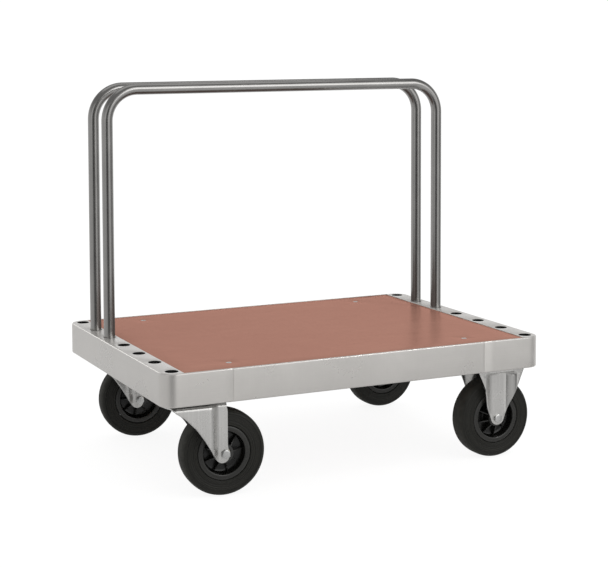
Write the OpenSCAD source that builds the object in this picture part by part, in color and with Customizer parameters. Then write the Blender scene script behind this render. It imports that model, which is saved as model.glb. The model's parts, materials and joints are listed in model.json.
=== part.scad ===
// Platform trolley with two lift-out tubular hoops.
// A zinc-plated sheet frame with a coated board, two swivel casters at the
// left end (-X) and two fixed casters at the right end (+X).
// X runs along the platform, Y across it and Z up, with the origin on the
// floor under the middle of the platform. The front side is -Y.

/* [Platform] */
// Length of the platform over both end beams
platform_l = 1000; // [960:10:1200]
// Width of the platform
platform_w = 700; // [690:5:800]
// Height of the platform's top above the floor
platform_z = 302.5; // [301:0.5:306]
// Height of the frame's outer walls
beam_h = 77; // [75:1:79]
// Thickness of the frame's folded sheet
sheet_t = 3; // [2.5:0.5:3.5]
// Outer radius of the frame's vertical corners
corner_r = 35; // [25:1:45]
// Width of an end beam's top flange
flange_w = 50; // [48:1:52]
// Width of an end beam's bottom lip
lip_w = 30; // [20:1:32]
// Length that an end beam wraps round each side
wrap_l = 167; // [160:1:185]
// Gap between an end beam's end and the side rail
seam_gap = 0.3; // [0.1:0.1:0.5]
// Thickness of the deck board
board_t = 12; // [10:0.5:14]
// Depth of the board's face below the frame's top
board_drop = 1.5; // [0:0.5:2]
// Gap round the deck board
board_gap = 1; // [0.2:0.1:1.5]
// Width of the ledge that carries the board's long edges
ledge_w = 25; // [20:1:30]
// Distance of a deck screw from the middle, along the platform
screw_x = 316; // [312:1:320]
// Distance of a deck screw from the middle, across the platform
screw_y = 284; // [270:1:290]

/* [Sockets] */
// Bore of a socket
socket_d = 30; // [29:0.5:31]
// Wall thickness of a socket cup
cup_t = 2; // [1.5:0.5:2.5]
// Depth of a socket below the platform's top
socket_depth = 60.5; // [50:0.5:61]
// Distance from a socket's axis to the end of the platform
socket_inset = 30; // [28:1:31]
// Distance between the first and the last socket of a row
socket_span = 640; // [600:10:640]

/* [Hoops] */
// Height of a hoop's top above the floor
hoop_z = 931; // [700:1:1200]
// Outer diameter of the hoop tube
tube_d = 28; // [25:0.5:28.5]
// Wall thickness of the hoop tube
tube_t = 2; // [1.5:0.5:3]
// Bend radius on the tube's centreline
bend_r = 78; // [60:1:150]

/* [Casters] */
// Wheel diameter
wheel_d = 200; // [196:1:200]
// Width of the tyre
tyre_w = 50; // [44:1:52]
// Outer diameter of the rim, inside the tyre
rim_d = 126; // [120:1:130]
// Diameter of the open dish in each face of the rim
dish_d = 101; // [96:1:104]
// Number of ribs in each face of the rim
rib_n = 9; // [8:1:12]
// Height of a caster from the floor to its top plate's upper face
caster_h = 235; // [235:0.5:236]
// Distance of a caster from the middle, along the platform
caster_x = 393; // [390:1:396]
// Distance of a caster from the middle, across the platform
caster_y = 284; // [280:1:286]
// Distance from the swivel axis to the axle
trail = 55; // [50:1:58]
// Thickness of the fork sheet and of the fixed caster's plate
fork_t = 3.5; // [3:0.5:4]
// Turn of the front swivel caster at rest, in degrees
turn_front = -4.5; // [-15:0.5:15]
// Turn of the rear swivel caster at rest, in degrees
turn_rear = -5.5; // [-15:0.5:15]

/* [Hidden] */
$fn = 64;

ZINC = [0.72, 0.73, 0.73];
STEEL = [0.55, 0.55, 0.56];
BOARD = [0.62, 0.40, 0.36];
RUBBER = [0.12, 0.12, 0.12];
PLASTIC = [0.05, 0.05, 0.05];
BRIGHT = [0.82, 0.82, 0.84];
CAGE = [0.85, 0.8, 0.6];

// Signs of the ends (X) and sides (Y)
LEFT = -1;
RIGHT = 1;
FRONT = -1;
REAR = 1;

frame_z = platform_z - beam_h;        // lower edge of the frame
inner_w = platform_w - 2 * sheet_t;   // clear width between the side walls
board_top_z = platform_z - board_drop;
board_z = board_top_z - board_t;      // underside of the board
axle_z = wheel_d / 2;

// Caster top plates and their mounting bolts
plate_l = 135;
plate_w = 110;
swivel_plate_t = 4;
plate_bolt_x = 50;
plate_bolt_y = 37.5;
plate_bolt_r = 5;
plate_hole_r = 5.5;

// ---------- helpers ----------
function reversed(points) = [for (i = [len(points) - 1:-1:0]) points[i]];
function flip_x(points) = [for (p = points) [-p.x, p.y]];
function flip_y(points) = [for (p = points) [p.x, -p.y]];

// Rounded rectangle built from squares and circles, so that its arcs stay true.
module rounded_rect(length, width, radius) {
    square([length - 2 * radius, width], center = true);
    square([length, width - 2 * radius], center = true);
    for (sx = [-1, 1], sy = [-1, 1])
        translate([sx * (length / 2 - radius), sy * (width / 2 - radius)]) circle(radius);
}

module hex(across, height) {
    rotate([0, 0, 30]) cylinder(r = across / 2 / cos(30), h = height, $fn = 6);
}

// The child and its mirror image across Y.
module both_sides() {
    for (flip = [0, 1]) mirror([0, flip, 0]) children();
}

module at_plate_bolts() {
    for (i = [-1, 1], j = [-1, 1])
        translate([i * plate_bolt_x, j * plate_bolt_y, 0]) children();
}

module at_caster(end, side) { translate([end * caster_x, side * caster_y, 0]) children(); }
module at_fixed(side) { at_caster(RIGHT, side) children(); }
module at_swivel(side) {
    at_caster(LEFT, side) rotate([0, 0, side == FRONT ? turn_front : turn_rear]) children();
}

// These place a child that is drawn along Y round the origin.
module on_fixed_axle(side) { at_fixed(side) translate([0, 0, axle_z]) children(); }
module on_swivel_axle(side) { at_swivel(side) translate([trail, 0, axle_z]) children(); }

// ---------- end beams and socket cups ----------
socket_n = 7;                         // sockets in a row
socket_x = platform_l / 2 - socket_inset;
cup_z = platform_z - socket_depth;    // floor of a socket
cup_floor_t = 3;
function socket_y(k) = socket_span / 2 - k * socket_span / (socket_n - 1);

module at_sockets() {
    for (k = [0:socket_n - 1]) translate([socket_x, socket_y(k), 0]) children();
}

// Plan of the platform's right-hand end, from its end inwards.
module end_zone(length) {
    translate([platform_l / 2 - length, -platform_w]) square([length + 1, 2 * platform_w]);
}

module end_flange(length, z) {
    translate([0, 0, z]) linear_extrude(sheet_t) intersection() {
        rounded_rect(platform_l, platform_w, corner_r);
        end_zone(length);
    }
}

module end_beam() {
    color(ZINC) difference() {
        union() {
            // outer wall, wrapped round both corners
            translate([0, 0, frame_z]) linear_extrude(beam_h) intersection() {
                difference() {
                    rounded_rect(platform_l, platform_w, corner_r);
                    rounded_rect(platform_l - 2 * sheet_t, inner_w, corner_r - sheet_t);
                }
                end_zone(wrap_l);
            }
            end_flange(flange_w, platform_z - sheet_t);
            end_flange(lip_w, frame_z);
        }
        at_sockets() translate([0, 0, platform_z - sheet_t - 1])
            cylinder(d = socket_d, h = sheet_t + 2);
    }
}
module end_beam_right() { end_beam(); }
module end_beam_left() { mirror([1, 0, 0]) end_beam(); }

module socket_cups() {
    color(ZINC) at_sockets() difference() {
        translate([0, 0, cup_z - cup_floor_t])
            cylinder(d = socket_d + 2 * cup_t, h = platform_z - sheet_t - cup_z + cup_floor_t);
        translate([0, 0, cup_z]) cylinder(d = socket_d, h = socket_depth + 1);
    }
}
module socket_cups_right() { socket_cups(); }
module socket_cups_left() { mirror([1, 0, 0]) socket_cups(); }

// ---------- side rails ----------
rail_l = platform_l - 2 * wrap_l - 2 * seam_gap;
rail_lip_w = 30;
rail_hem_h = 12;                                // upturned inner edge of the lip
rail_lip_half = min(rail_l / 2, caster_x - 73); // half length of the lip, clear of the casters

module side_rail() {
    lip_start = rail_l / 2 - rail_lip_half;
    color(ZINC) translate([-rail_l / 2, -platform_w / 2, frame_z]) union() {
        cube([rail_l, sheet_t, beam_h]);
        translate([lip_start, 0, 0]) cube([2 * rail_lip_half, rail_lip_w, sheet_t]);
        translate([lip_start, rail_lip_w - sheet_t, 0])
            cube([2 * rail_lip_half, sheet_t, rail_hem_h]);
    }
}
module side_rail_front() { side_rail(); }
module side_rail_rear() { mirror([0, 1, 0]) side_rail(); }

// ---------- cross members and ledges ----------
member_in_x = caster_x - 63;                        // inner wall of an end cross member
member_out_x = platform_l / 2 - flange_w - 0.5;     // its outer wall
member_out_l = 460;                                 // length of the outer wall, across Y
member_flange_w = 30;                               // flange under the board
kingpin_clear_r = 14;                               // hole round a kingpin's head
screw_hole_r = 3.3;
middle_w = 60;
middle_h = 40;
ledge_h = 25;
ledge_gap = 1;                                      // from a ledge's end to a cross member

module at_deck_screws() {
    for (i = [-1, 1], j = [-1, 1]) translate([i * screw_x, j * screw_y, 0]) children();
}

module cross_member() {
    wall_h = board_z - caster_h;
    color(ZINC) difference() {
        union() {
            translate([member_in_x, -inner_w / 2, caster_h])
                cube([member_out_x - member_in_x, inner_w, sheet_t]);
            translate([member_in_x, -inner_w / 2, caster_h]) cube([sheet_t, inner_w, wall_h]);
            translate([member_out_x - sheet_t, -member_out_l / 2, caster_h])
                cube([sheet_t, member_out_l, wall_h]);
            translate([member_in_x - member_flange_w, -inner_w / 2, board_z - sheet_t])
                cube([member_flange_w + sheet_t, inner_w, sheet_t]);
        }
        for (side = [FRONT, REAR]) {
            at_caster(RIGHT, side) translate([0, 0, caster_h - 1]) {
                at_plate_bolts() cylinder(r = plate_hole_r, h = sheet_t + 2);
                cylinder(r = kingpin_clear_r, h = sheet_t + 2);
            }
            translate([screw_x, side * screw_y, board_z - sheet_t - 1])
                cylinder(r = screw_hole_r, h = sheet_t + 2);
        }
    }
}
module cross_member_right() { cross_member(); }
module cross_member_left() { mirror([1, 0, 0]) cross_member(); }

// Channel, open downwards.
module cross_member_middle() {
    color(ZINC) translate([0, -inner_w / 2, board_z - middle_h]) difference() {
        translate([-middle_w / 2, 0, 0]) cube([middle_w, inner_w, middle_h]);
        translate([-middle_w / 2 + sheet_t, -1, -1])
            cube([middle_w - 2 * sheet_t, inner_w + 2, middle_h + 1 - sheet_t]);
    }
}

// Angle strips welded inside the side walls, under the board's long edges.
module deck_ledges() {
    start_x = middle_w / 2 + ledge_gap;
    length = member_in_x - member_flange_w - ledge_gap - start_x;
    color(ZINC) for (flip_end = [0, 1], flip_side = [0, 1])
        mirror([flip_end, 0, 0]) mirror([0, flip_side, 0]) union() {
            translate([start_x, inner_w / 2 - ledge_w, board_z - sheet_t])
                cube([length, ledge_w, sheet_t]);
            translate([start_x, inner_w / 2 - sheet_t, board_z - ledge_h])
                cube([length, sheet_t, ledge_h]);
        }
}

// ---------- deck board and its screws ----------
screw_r = 3;
screw_below = 12;        // length of a screw below the board
screw_head_r = 6.7;
screw_head_depth = 3.55; // depth of the head's cone below the board's face
head_rise = 0.15;        // height of the head's cone above the board's face
sink_r = 7.05;
sink_depth = 3.6;
recess_l = 6.4;          // cross recess
recess_w = 1.4;
recess_depth = 1.8;
deck_nut_across = 10;
deck_nut_h = 5;

module deck_board() {
    color(BOARD) difference() {
        translate([-platform_l / 2 + flange_w + board_gap, -inner_w / 2 + board_gap, board_z])
            cube([platform_l - 2 * flange_w - 2 * board_gap, inner_w - 2 * board_gap, board_t]);
        at_deck_screws() translate([0, 0, board_z]) {
            translate([0, 0, -1]) cylinder(r = screw_hole_r, h = board_t + 2);
            translate([0, 0, board_t - sink_depth])
                cylinder(r1 = screw_hole_r, r2 = sink_r, h = sink_depth + head_rise);
        }
    }
}

// Countersunk machine screws with a cross recess.
module deck_screws() {
    recess_z = board_top_z - recess_depth;
    color(BRIGHT) at_deck_screws() difference() {
        union() {
            translate([0, 0, board_top_z - screw_head_depth])
                cylinder(r1 = screw_r, r2 = screw_head_r, h = screw_head_depth + head_rise);
            translate([0, 0, board_z - screw_below])
                cylinder(r = screw_r, h = board_t + screw_below - 3);
        }
        translate([-recess_l / 2, -recess_w / 2, recess_z]) cube([recess_l, recess_w, 3]);
        translate([-recess_w / 2, -recess_l / 2, recess_z]) cube([recess_w, recess_l, 3]);
    }
}

module deck_nuts() {
    color(BRIGHT) at_deck_screws() translate([0, 0, board_z - sheet_t - deck_nut_h])
        difference() {
            hex(deck_nut_across, deck_nut_h);
            translate([0, 0, -1]) cylinder(r = screw_r + 0.01, h = deck_nut_h + 2);
        }
}

// ---------- fork legs, common to both kinds of caster ----------
hub_l = 60;                         // clear width for the hub between the fork legs
leg_in_y = hub_l / 2 + 0.1;         // inner face of a fork leg at the axle
leg_out_y = leg_in_y + fork_t;      // its outer face
flank_y = leg_out_y + 18.4;         // outer face of a fork's upper flanks
slope_l = 24;                       // length of the slope from leg to flank
slope_steps = 12;
axle_hole_r = 6.1;

function smooth_step(t) = let (u = min(1, max(0, t))) u * u * (3 - 2 * u);

// S-shaped slope of a leg's outer face in plan, from the centre strip to the wider flank.
function leg_slope(start) = [for (i = [0:slope_steps])
    let (along = i * slope_l / slope_steps)
    [start + along, leg_out_y + (flank_y - leg_out_y) * smooth_step(along / slope_l)]];

// Plan of the sheet behind an outer face.
function sheet_band(face) = concat(face, reversed([for (p = face) [p.x, p.y - fork_t]]));

// Both legs: a plan raised to top_z and cut to the child's outline, seen along the axle.
module fork_legs(plan, top_z) {
    both_sides() intersection() {
        translate([0, 0, axle_z - 40]) linear_extrude(top_z - axle_z + 40) polygon(plan);
        translate([0, 200, axle_z]) rotate([90, 0, 0]) linear_extrude(400) children();
    }
}

module axle_hole() {
    translate([0, 100, axle_z]) rotate([90, 0, 0]) cylinder(r = axle_hole_r, h = 200);
}

// ---------- fixed casters ----------
fixed_strip_half = 22;   // half width of a leg's flat centre strip
shoulder_half = 48;      // half length of the shoulder over the strip
shoulder_drop = 20;      // from the plate's top to the shoulder's underside
fixed_top = caster_h - axle_z;

fixed_face_half = concat(leg_slope(fixed_strip_half), [[plate_l / 2, flank_y]]);
fixed_face = concat(reversed(flip_x(fixed_face_half)), fixed_face_half);

// Right-hand edge of a leg: x, height above the axle
fixed_leg_edge = [[18, -3.5], [44.3, fixed_top - 60], [62, fixed_top - 18],
    [plate_l / 2, fixed_top - 5], [plate_l / 2, fixed_top]];

module fixed_leg_outline() {
    // a taper from the plate to a round end
    union() {
        translate([0, 2.5]) circle(r = 19);
        polygon(concat(flip_x(fixed_leg_edge), reversed(fixed_leg_edge)));
    }
}

module fixed_fork() {
    shoulder_z = caster_h - shoulder_drop;
    color(ZINC) difference() {
        union() {
            fork_legs(sheet_band(fixed_face), caster_h) fixed_leg_outline();
            // shoulders that close the top of each centre strip
            both_sides() {
                translate([-shoulder_half, leg_in_y, shoulder_z])
                    cube([2 * shoulder_half, flank_y - leg_in_y, fork_t]);
                translate([-shoulder_half, flank_y - fork_t, shoulder_z])
                    cube([2 * shoulder_half, fork_t, shoulder_drop]);
            }
            // top plate
            translate([-plate_l / 2, -flank_y, caster_h - fork_t])
                cube([plate_l, 2 * flank_y, fork_t]);
        }
        at_plate_bolts() translate([0, 0, caster_h - 30]) cylinder(r = plate_hole_r, h = 40);
        axle_hole();
    }
}
module fixed_fork_front() { at_fixed(FRONT) fixed_fork(); }
module fixed_fork_rear() { at_fixed(REAR) fixed_fork(); }

// ---------- axles, drawn along Y through the origin; the head is at -Y ----------
axle_r = 6;
axle_across = 19;        // across flats of the bolt head and the nut
axle_collar_r = 10.4;    // round collar under the bolt head
axle_collar_h = 0.8;
axle_head_h = 4.2;
axle_end = 14;           // length of the bolt beyond the far leg
axle_nut_h = 11;
axle_flange_r = 12;      // flange of the nut
axle_flange_h = 1.5;
sleeve_r = 10;

module axle_bolt() {
    color(BRIGHT) rotate([90, 0, 0]) union() {
        translate([0, 0, leg_out_y]) cylinder(r = axle_collar_r, h = axle_collar_h);
        translate([0, 0, leg_out_y + axle_collar_h]) intersection() {
            hex(axle_across, axle_head_h);
            // cone that bevels the head's corners
            cylinder(r1 = 14.9, r2 = 9.7, h = 4.7);
        }
        translate([0, 0, -leg_out_y - axle_end])
            cylinder(r = axle_r, h = 2 * leg_out_y + axle_end + 0.5);
    }
}
module axle_nut() {
    color(BRIGHT) rotate([-90, 0, 0]) translate([0, 0, leg_out_y]) difference() {
        union() {
            cylinder(r = axle_flange_r, h = axle_flange_h);
            hex(axle_across, axle_nut_h);
        }
        translate([0, 0, -1]) cylinder(r = axle_r + 0.01, h = axle_nut_h + 3);
    }
}
module axle_sleeve() {
    color(BRIGHT) rotate([90, 0, 0]) translate([0, 0, -leg_in_y]) difference() {
        cylinder(r = sleeve_r, h = 2 * leg_in_y);
        translate([0, 0, -1]) cylinder(r = axle_hole_r, h = hub_l + 3);
    }
}

// Both fixed axles, the rear one mirrored so that both bolt heads face outwards.
module on_fixed_axles() {
    for (side = [FRONT, REAR])
        on_fixed_axle(side) mirror([0, side == REAR ? 1 : 0, 0]) children();
}
module fixed_axle_bolts() { on_fixed_axles() axle_bolt(); }
module fixed_axle_nuts() { on_fixed_axles() axle_nut(); }
module fixed_axle_sleeves() { on_fixed_axles() axle_sleeve(); }
module swivel_axle_bolt_front() { on_swivel_axle(FRONT) axle_bolt(); }
module swivel_axle_bolt_rear() { on_swivel_axle(REAR) axle_bolt(); }
module swivel_axle_nut_front() { on_swivel_axle(FRONT) axle_nut(); }
module swivel_axle_nut_rear() { on_swivel_axle(REAR) axle_nut(); }
module swivel_sleeve_front() { on_swivel_axle(FRONT) axle_sleeve(); }
module swivel_sleeve_rear() { on_swivel_axle(REAR) axle_sleeve(); }

// ---------- swivel bearings, drawn round the swivel axis ----------
crown_z = 219;                        // top face of the swivel fork's crown
ball_r = 3;
upper_n = 22;                         // balls in the upper race
upper_r = 29;                         // upper ball circle
upper_z = crown_z + 2.2;
lower_n = 14;
lower_r = 18;
lower_z = crown_z - fork_t - 2.2;
race_disc_r = 37;                     // disc under the top plate
bearing_cup_r = 23;
bearing_cup_h = 6.4;
bearing_cup_z = lower_z - 7.2;        // underside of the lower bearing cup
kingpin_r = 6;
kingpin_hole_r = 6.02;
kingpin_across = 18;                  // across flats of its head and nut
kingpin_head_h = 6;
kingpin_nut_h = 8;
kingpin_end = 10;                     // length below the bearing cup

// Groove for a ring of balls, to be cut away.
module race(radius, z) {
    translate([0, 0, z]) rotate_extrude() translate([radius, 0]) circle(ball_r + 0.05);
}

module swivel_plate() {
    color(ZINC) difference() {
        union() {
            translate([-plate_l / 2, -plate_w / 2, caster_h - swivel_plate_t])
                cube([plate_l, plate_w, swivel_plate_t]);
            translate([0, 0, upper_z + 0.8]) cylinder(r = race_disc_r, h = caster_h - upper_z - 1);
        }
        race(upper_r, upper_z);
        cylinder(r = kingpin_hole_r, h = 300);
        at_plate_bolts() translate([0, 0, caster_h - 10]) cylinder(r = plate_hole_r, h = 20);
    }
}
module swivel_plate_front() { at_caster(LEFT, FRONT) swivel_plate(); }
module swivel_plate_rear() { at_caster(LEFT, REAR) swivel_plate(); }

module kingpins() {
    color(BRIGHT) for (side = [FRONT, REAR]) at_caster(LEFT, side) {
        translate([0, 0, caster_h]) hex(kingpin_across, kingpin_head_h);
        translate([0, 0, bearing_cup_z - kingpin_end])
            cylinder(r = kingpin_r, h = caster_h - bearing_cup_z + kingpin_end + 0.5);
    }
}
module kingpin_nuts() {
    color(BRIGHT) for (side = [FRONT, REAR]) at_caster(LEFT, side)
        translate([0, 0, bearing_cup_z - kingpin_nut_h]) difference() {
            hex(kingpin_across, kingpin_nut_h);
            translate([0, 0, -1]) cylinder(r = kingpin_r + 0.01, h = 20);
        }
}
module bearing_cups() {
    color(ZINC) for (side = [FRONT, REAR]) at_caster(LEFT, side) difference() {
        translate([0, 0, bearing_cup_z]) cylinder(r = bearing_cup_r, h = bearing_cup_h);
        race(lower_r, lower_z);
        translate([0, 0, 100]) cylinder(r = kingpin_hole_r, h = 200);
    }
}

module balls(count, radius, z) {
    color(BRIGHT) for (i = [0:count - 1]) rotate([0, 0, i * 360 / count])
        translate([radius, 0, z]) sphere(r = ball_r, $fn = 32);
}
module upper_balls_front() { at_swivel(FRONT) balls(upper_n, upper_r, upper_z); }
module upper_balls_rear() { at_swivel(REAR) balls(upper_n, upper_r, upper_z); }
module lower_balls_front() { at_swivel(FRONT) balls(lower_n, lower_r, lower_z); }
module lower_balls_rear() { at_swivel(REAR) balls(lower_n, lower_r, lower_z); }

// Dust seal that stands on the crown round the upper ball race.
module seal_ring() {
    color(STEEL) translate([0, 0, crown_z]) difference() {
        union() {
            cylinder(r = 41, h = 1.5);
            cylinder(r = 40, h = 8);
        }
        translate([0, 0, -1]) cylinder(r = 38, h = 20);
    }
}
module seal_ring_front() { at_swivel(FRONT) seal_ring(); }
module seal_ring_rear() { at_swivel(REAR) seal_ring(); }

// ---------- swivel forks; plan and outline have x from the axle, the crown is at -X ----------
swivel_strip_half = 16;  // from the axle to the start of the slope
swivel_tip_x = -129;     // far end of the crown
swivel_edge_x = 5.5;     // edge of the legs and crown beyond the axle
crown_r = 91;            // round end of the crown, about the swivel axis
crown_top = crown_z - axle_z;

// Outer face from the slope to the tip
swivel_face = concat(flip_x(leg_slope(swivel_strip_half)), [[swivel_tip_x, flank_y]]);
swivel_leg_face = concat([[10, leg_out_y]], swivel_face);
crown_half = concat([[swivel_edge_x, leg_out_y]], swivel_face);
crown_plan = concat(crown_half, reversed(flip_y(crown_half)));

// Outline of a leg: x, height above the axle
swivel_leg_points = [
    [8.9, -3], [swivel_edge_x, 18], [swivel_edge_x, crown_top], [swivel_tip_x, crown_top],
    [-128, 117], [-121, 107], [-103, 95.6], [-93.6, 86.7], [-73.8, 66.7],
    [-55.2, 40.5], [-42.8, 20], [-20.8, -13], [-7.2, -4.2]];

module swivel_leg_outline() {
    union() {
        translate([-7.2, -4.2]) circle(r = 16.2);
        polygon(swivel_leg_points);
    }
}

module swivel_fork() {
    color(ZINC) difference() {
        intersection() {
            translate([trail, 0, 0]) union() {
                fork_legs(sheet_band(swivel_leg_face), crown_z) swivel_leg_outline();
                translate([0, 0, crown_z - fork_t]) linear_extrude(fork_t) polygon(crown_plan);
            }
            // limit that rounds the crown's end
            translate([0, 0, axle_z - 60]) union() {
                cylinder(r = crown_r, h = 300, $fn = 96);
                translate([0, -60, 0]) cube([120, 120, 300]);
            }
        }
        translate([0, 0, 100]) cylinder(r = 6.07, h = 200);
        race(upper_r, upper_z);
        race(lower_r, lower_z);
        translate([trail, 0, 0]) axle_hole();
    }
}
module swivel_fork_front() { at_swivel(FRONT) swivel_fork(); }
module swivel_fork_rear() { at_swivel(REAR) swivel_fork(); }

// ---------- mounting bolts of the casters ----------
mount_across = 16;       // across flats of bolt heads and nuts
mount_head_h = 6.4;
mount_nut_h = 9;
mount_end = 11;          // length of a bolt above the cross member's sheet
mount_flange_r = 9.4;    // flange of the nut
mount_flange_h = 1.6;

module caster_bolts() {
    color(BRIGHT) for (end = [LEFT, RIGHT], side = [FRONT, REAR]) {
        plate_z = caster_h - (end == LEFT ? swivel_plate_t : fork_t);
        at_caster(end, side) at_plate_bolts() union() {
            translate([0, 0, plate_z - mount_head_h]) hex(mount_across, mount_head_h);
            translate([0, 0, plate_z - 1])
                cylinder(r = plate_bolt_r, h = caster_h + sheet_t + mount_end - plate_z + 1);
        }
    }
}
module caster_nuts() {
    color(BRIGHT) for (end = [LEFT, RIGHT], side = [FRONT, REAR])
        at_caster(end, side) at_plate_bolts() translate([0, 0, caster_h + sheet_t])
            difference() {
                union() {
                    cylinder(r = mount_flange_r, h = mount_flange_h);
                    hex(mount_across, mount_nut_h);
                }
                translate([0, 0, -1]) cylinder(r = plate_bolt_r + 0.01, h = 20);
            }
}

// ---------- wheels, drawn round the Y axis ----------
tyre_edge_r = 9;             // rounding of the tread's edges
groove_r = 0.8;              // ring grooves in the tyre's side faces
groove_offsets = [5, 20];    // their distances from the rim
hub_bore_r = 14.04;
hub_r = 21;
web_in_r = 19;               // inner radius of the rim's middle web
web_t = 6;
rib_in_r = 18;
rib_t = 3;

module tyre() {
    half_w = tyre_w / 2;
    tyre_r = wheel_d / 2;
    rim_r = rim_d / 2;
    color(RUBBER) rotate([90, 0, 0]) rotate_extrude($fn = 128) difference() {
        union() {
            translate([rim_r, -half_w]) square([tyre_r - tyre_edge_r - rim_r, tyre_w]);
            translate([rim_r, -half_w + tyre_edge_r])
                square([tyre_r - rim_r, tyre_w - 2 * tyre_edge_r]);
            for (face = [-1, 1])
                translate([tyre_r - tyre_edge_r, face * (half_w - tyre_edge_r)])
                    circle(tyre_edge_r);
        }
        for (face = [-1, 1], offset_r = groove_offsets)
            translate([rim_r + offset_r, face * half_w]) circle(r = groove_r, $fn = 24);
    }
}

module rim() {
    half_w = tyre_w / 2 - 0.5;
    rim_r = rim_d / 2;
    dish_r = dish_d / 2;
    // Section of the bevelled edge bead: radius, height
    bead = [[dish_r, 2], [dish_r, 7], [dish_r + 2, 9], [rim_r - 2, 9],
        [rim_r, 7], [rim_r, 0], [dish_r + 4, 0]];
    // Outline of a rib, tapering outwards: radius, place along the axle
    rib = [[rib_in_r, -24], [24, -23], [dish_r + 3, -6],
        [dish_r + 3, 6], [24, 23], [rib_in_r, 24]];
    color(PLASTIC) union() {
        rotate([90, 0, 0]) rotate_extrude($fn = 128) union() {
            translate([dish_r + 5, -half_w + 4]) square([rim_r - dish_r - 5, 2 * half_w - 8]);
            for (flip = [0, 1]) mirror([0, flip]) translate([0, half_w - 9]) polygon(bead);
            translate([web_in_r, -web_t / 2]) square([dish_r + 6 - web_in_r, web_t]);
            translate([hub_bore_r, -hub_l / 2 + 1]) square([hub_r - hub_bore_r, hub_l - 2]);
        }
        for (i = [0:rib_n - 1]) rotate([0, i * 360 / rib_n, 0]) intersection() {
            translate([rib_in_r, -half_w, -rib_t / 2]) cube([dish_r - 14, 2 * half_w, rib_t]);
            translate([0, 0, -rib_t / 2]) linear_extrude(rib_t) polygon(rib);
        }
    }
}

roller_n = 12;
roller_r = 2;
roller_l = 43.8;
roller_circle_r = 12.02;
slot_l = 44;
cage_l = 52;

module at_rollers() {
    for (i = [0:roller_n - 1])
        rotate([0, 0, i * 360 / roller_n]) translate([roller_circle_r, 0, 0]) children();
}

module roller_cage() {
    color(CAGE) rotate([90, 0, 0]) translate([0, 0, -cage_l / 2]) difference() {
        cylinder(r = 13.4, h = cage_l);
        translate([0, 0, -1]) cylinder(r = 10.6, h = cage_l + 2);
        at_rollers() translate([0, 0, (cage_l - slot_l) / 2])
            cylinder(r = roller_r + 0.06, h = slot_l);
    }
    color(BRIGHT) rotate([90, 0, 0]) at_rollers() translate([0, 0, -roller_l / 2])
        cylinder(r = roller_r, h = roller_l);
}

module tyre_left_front() { on_swivel_axle(FRONT) tyre(); }
module tyre_left_rear() { on_swivel_axle(REAR) tyre(); }
module tyre_right_front() { on_fixed_axle(FRONT) tyre(); }
module tyre_right_rear() { on_fixed_axle(REAR) tyre(); }
module rim_left_front() { on_swivel_axle(FRONT) rim(); }
module rim_left_rear() { on_swivel_axle(REAR) rim(); }
module rim_right_front() { on_fixed_axle(FRONT) rim(); }
module rim_right_rear() { on_fixed_axle(REAR) rim(); }
module roller_cage_left_front() { on_swivel_axle(FRONT) roller_cage(); }
module roller_cage_left_rear() { on_swivel_axle(REAR) roller_cage(); }
module roller_cage_right_front() { on_fixed_axle(FRONT) roller_cage(); }
module roller_cage_right_rear() { on_fixed_axle(REAR) roller_cage(); }

// ---------- hoops ----------
plug_h = 3;                           // foot of a plug, under the tube
plug_stem_h = 14;                     // part of a plug inside the tube
tube_bore = tube_d - 2 * tube_t;
hoop_front_y = socket_y(2);
hoop_rear_y = socket_y(1);

module tube_ring() {
    difference() {
        circle(d = tube_d);
        circle(d = tube_bore);
    }
}

module hoop() {
    bar_z = hoop_z - tube_d / 2;
    leg_z = cup_z + plug_h;
    bend_x = socket_x - bend_r;
    bend_z = bar_z - bend_r;
    color(STEEL) union() {
        for (end = [LEFT, RIGHT]) {
            translate([end * socket_x, 0, leg_z]) linear_extrude(bend_z - leg_z) tube_ring();
            mirror([end == LEFT ? 1 : 0, 0, 0]) translate([bend_x, 0, bend_z])
                rotate([90, 0, 0]) rotate_extrude(angle = 90, $fn = 96)
                    translate([bend_r, 0]) tube_ring();
        }
        translate([-bend_x, 0, bar_z]) rotate([0, 90, 0]) linear_extrude(2 * bend_x) tube_ring();
    }
}
module hoop_plugs() {
    color(PLASTIC) for (end = [LEFT, RIGHT]) translate([end * socket_x, 0, cup_z]) {
        cylinder(d = tube_d - 0.4, h = plug_h);
        cylinder(d = tube_bore - 0.04, h = plug_h + plug_stem_h);
    }
}
module hoop_front() { translate([0, hoop_front_y, 0]) hoop(); }
module hoop_rear() { translate([0, hoop_rear_y, 0]) hoop(); }
module hoop_plugs_front() { translate([0, hoop_front_y, 0]) hoop_plugs(); }
module hoop_plugs_rear() { translate([0, hoop_rear_y, 0]) hoop_plugs(); }

end_beam_left();
end_beam_right();
side_rail_front();
side_rail_rear();
cross_member_left();
cross_member_right();
cross_member_middle();
deck_ledges();
deck_board();
deck_screws();
deck_nuts();
socket_cups_left();
socket_cups_right();
swivel_plate_front();
swivel_plate_rear();
kingpins();
kingpin_nuts();
bearing_cups();
fixed_fork_front();
fixed_fork_rear();
fixed_axle_bolts();
fixed_axle_nuts();
fixed_axle_sleeves();
caster_bolts();
caster_nuts();
swivel_fork_front();
swivel_fork_rear();
seal_ring_front();
seal_ring_rear();
swivel_axle_bolt_front();
swivel_axle_bolt_rear();
swivel_axle_nut_front();
swivel_axle_nut_rear();
swivel_sleeve_front();
swivel_sleeve_rear();
upper_balls_front();
upper_balls_rear();
lower_balls_front();
lower_balls_rear();
tyre_left_front();
tyre_left_rear();
tyre_right_front();
tyre_right_rear();
rim_left_front();
rim_left_rear();
rim_right_front();
rim_right_rear();
roller_cage_left_front();
roller_cage_left_rear();
roller_cage_right_front();
roller_cage_right_rear();
hoop_front();
hoop_rear();
hoop_plugs_front();
hoop_plugs_rear();
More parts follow.
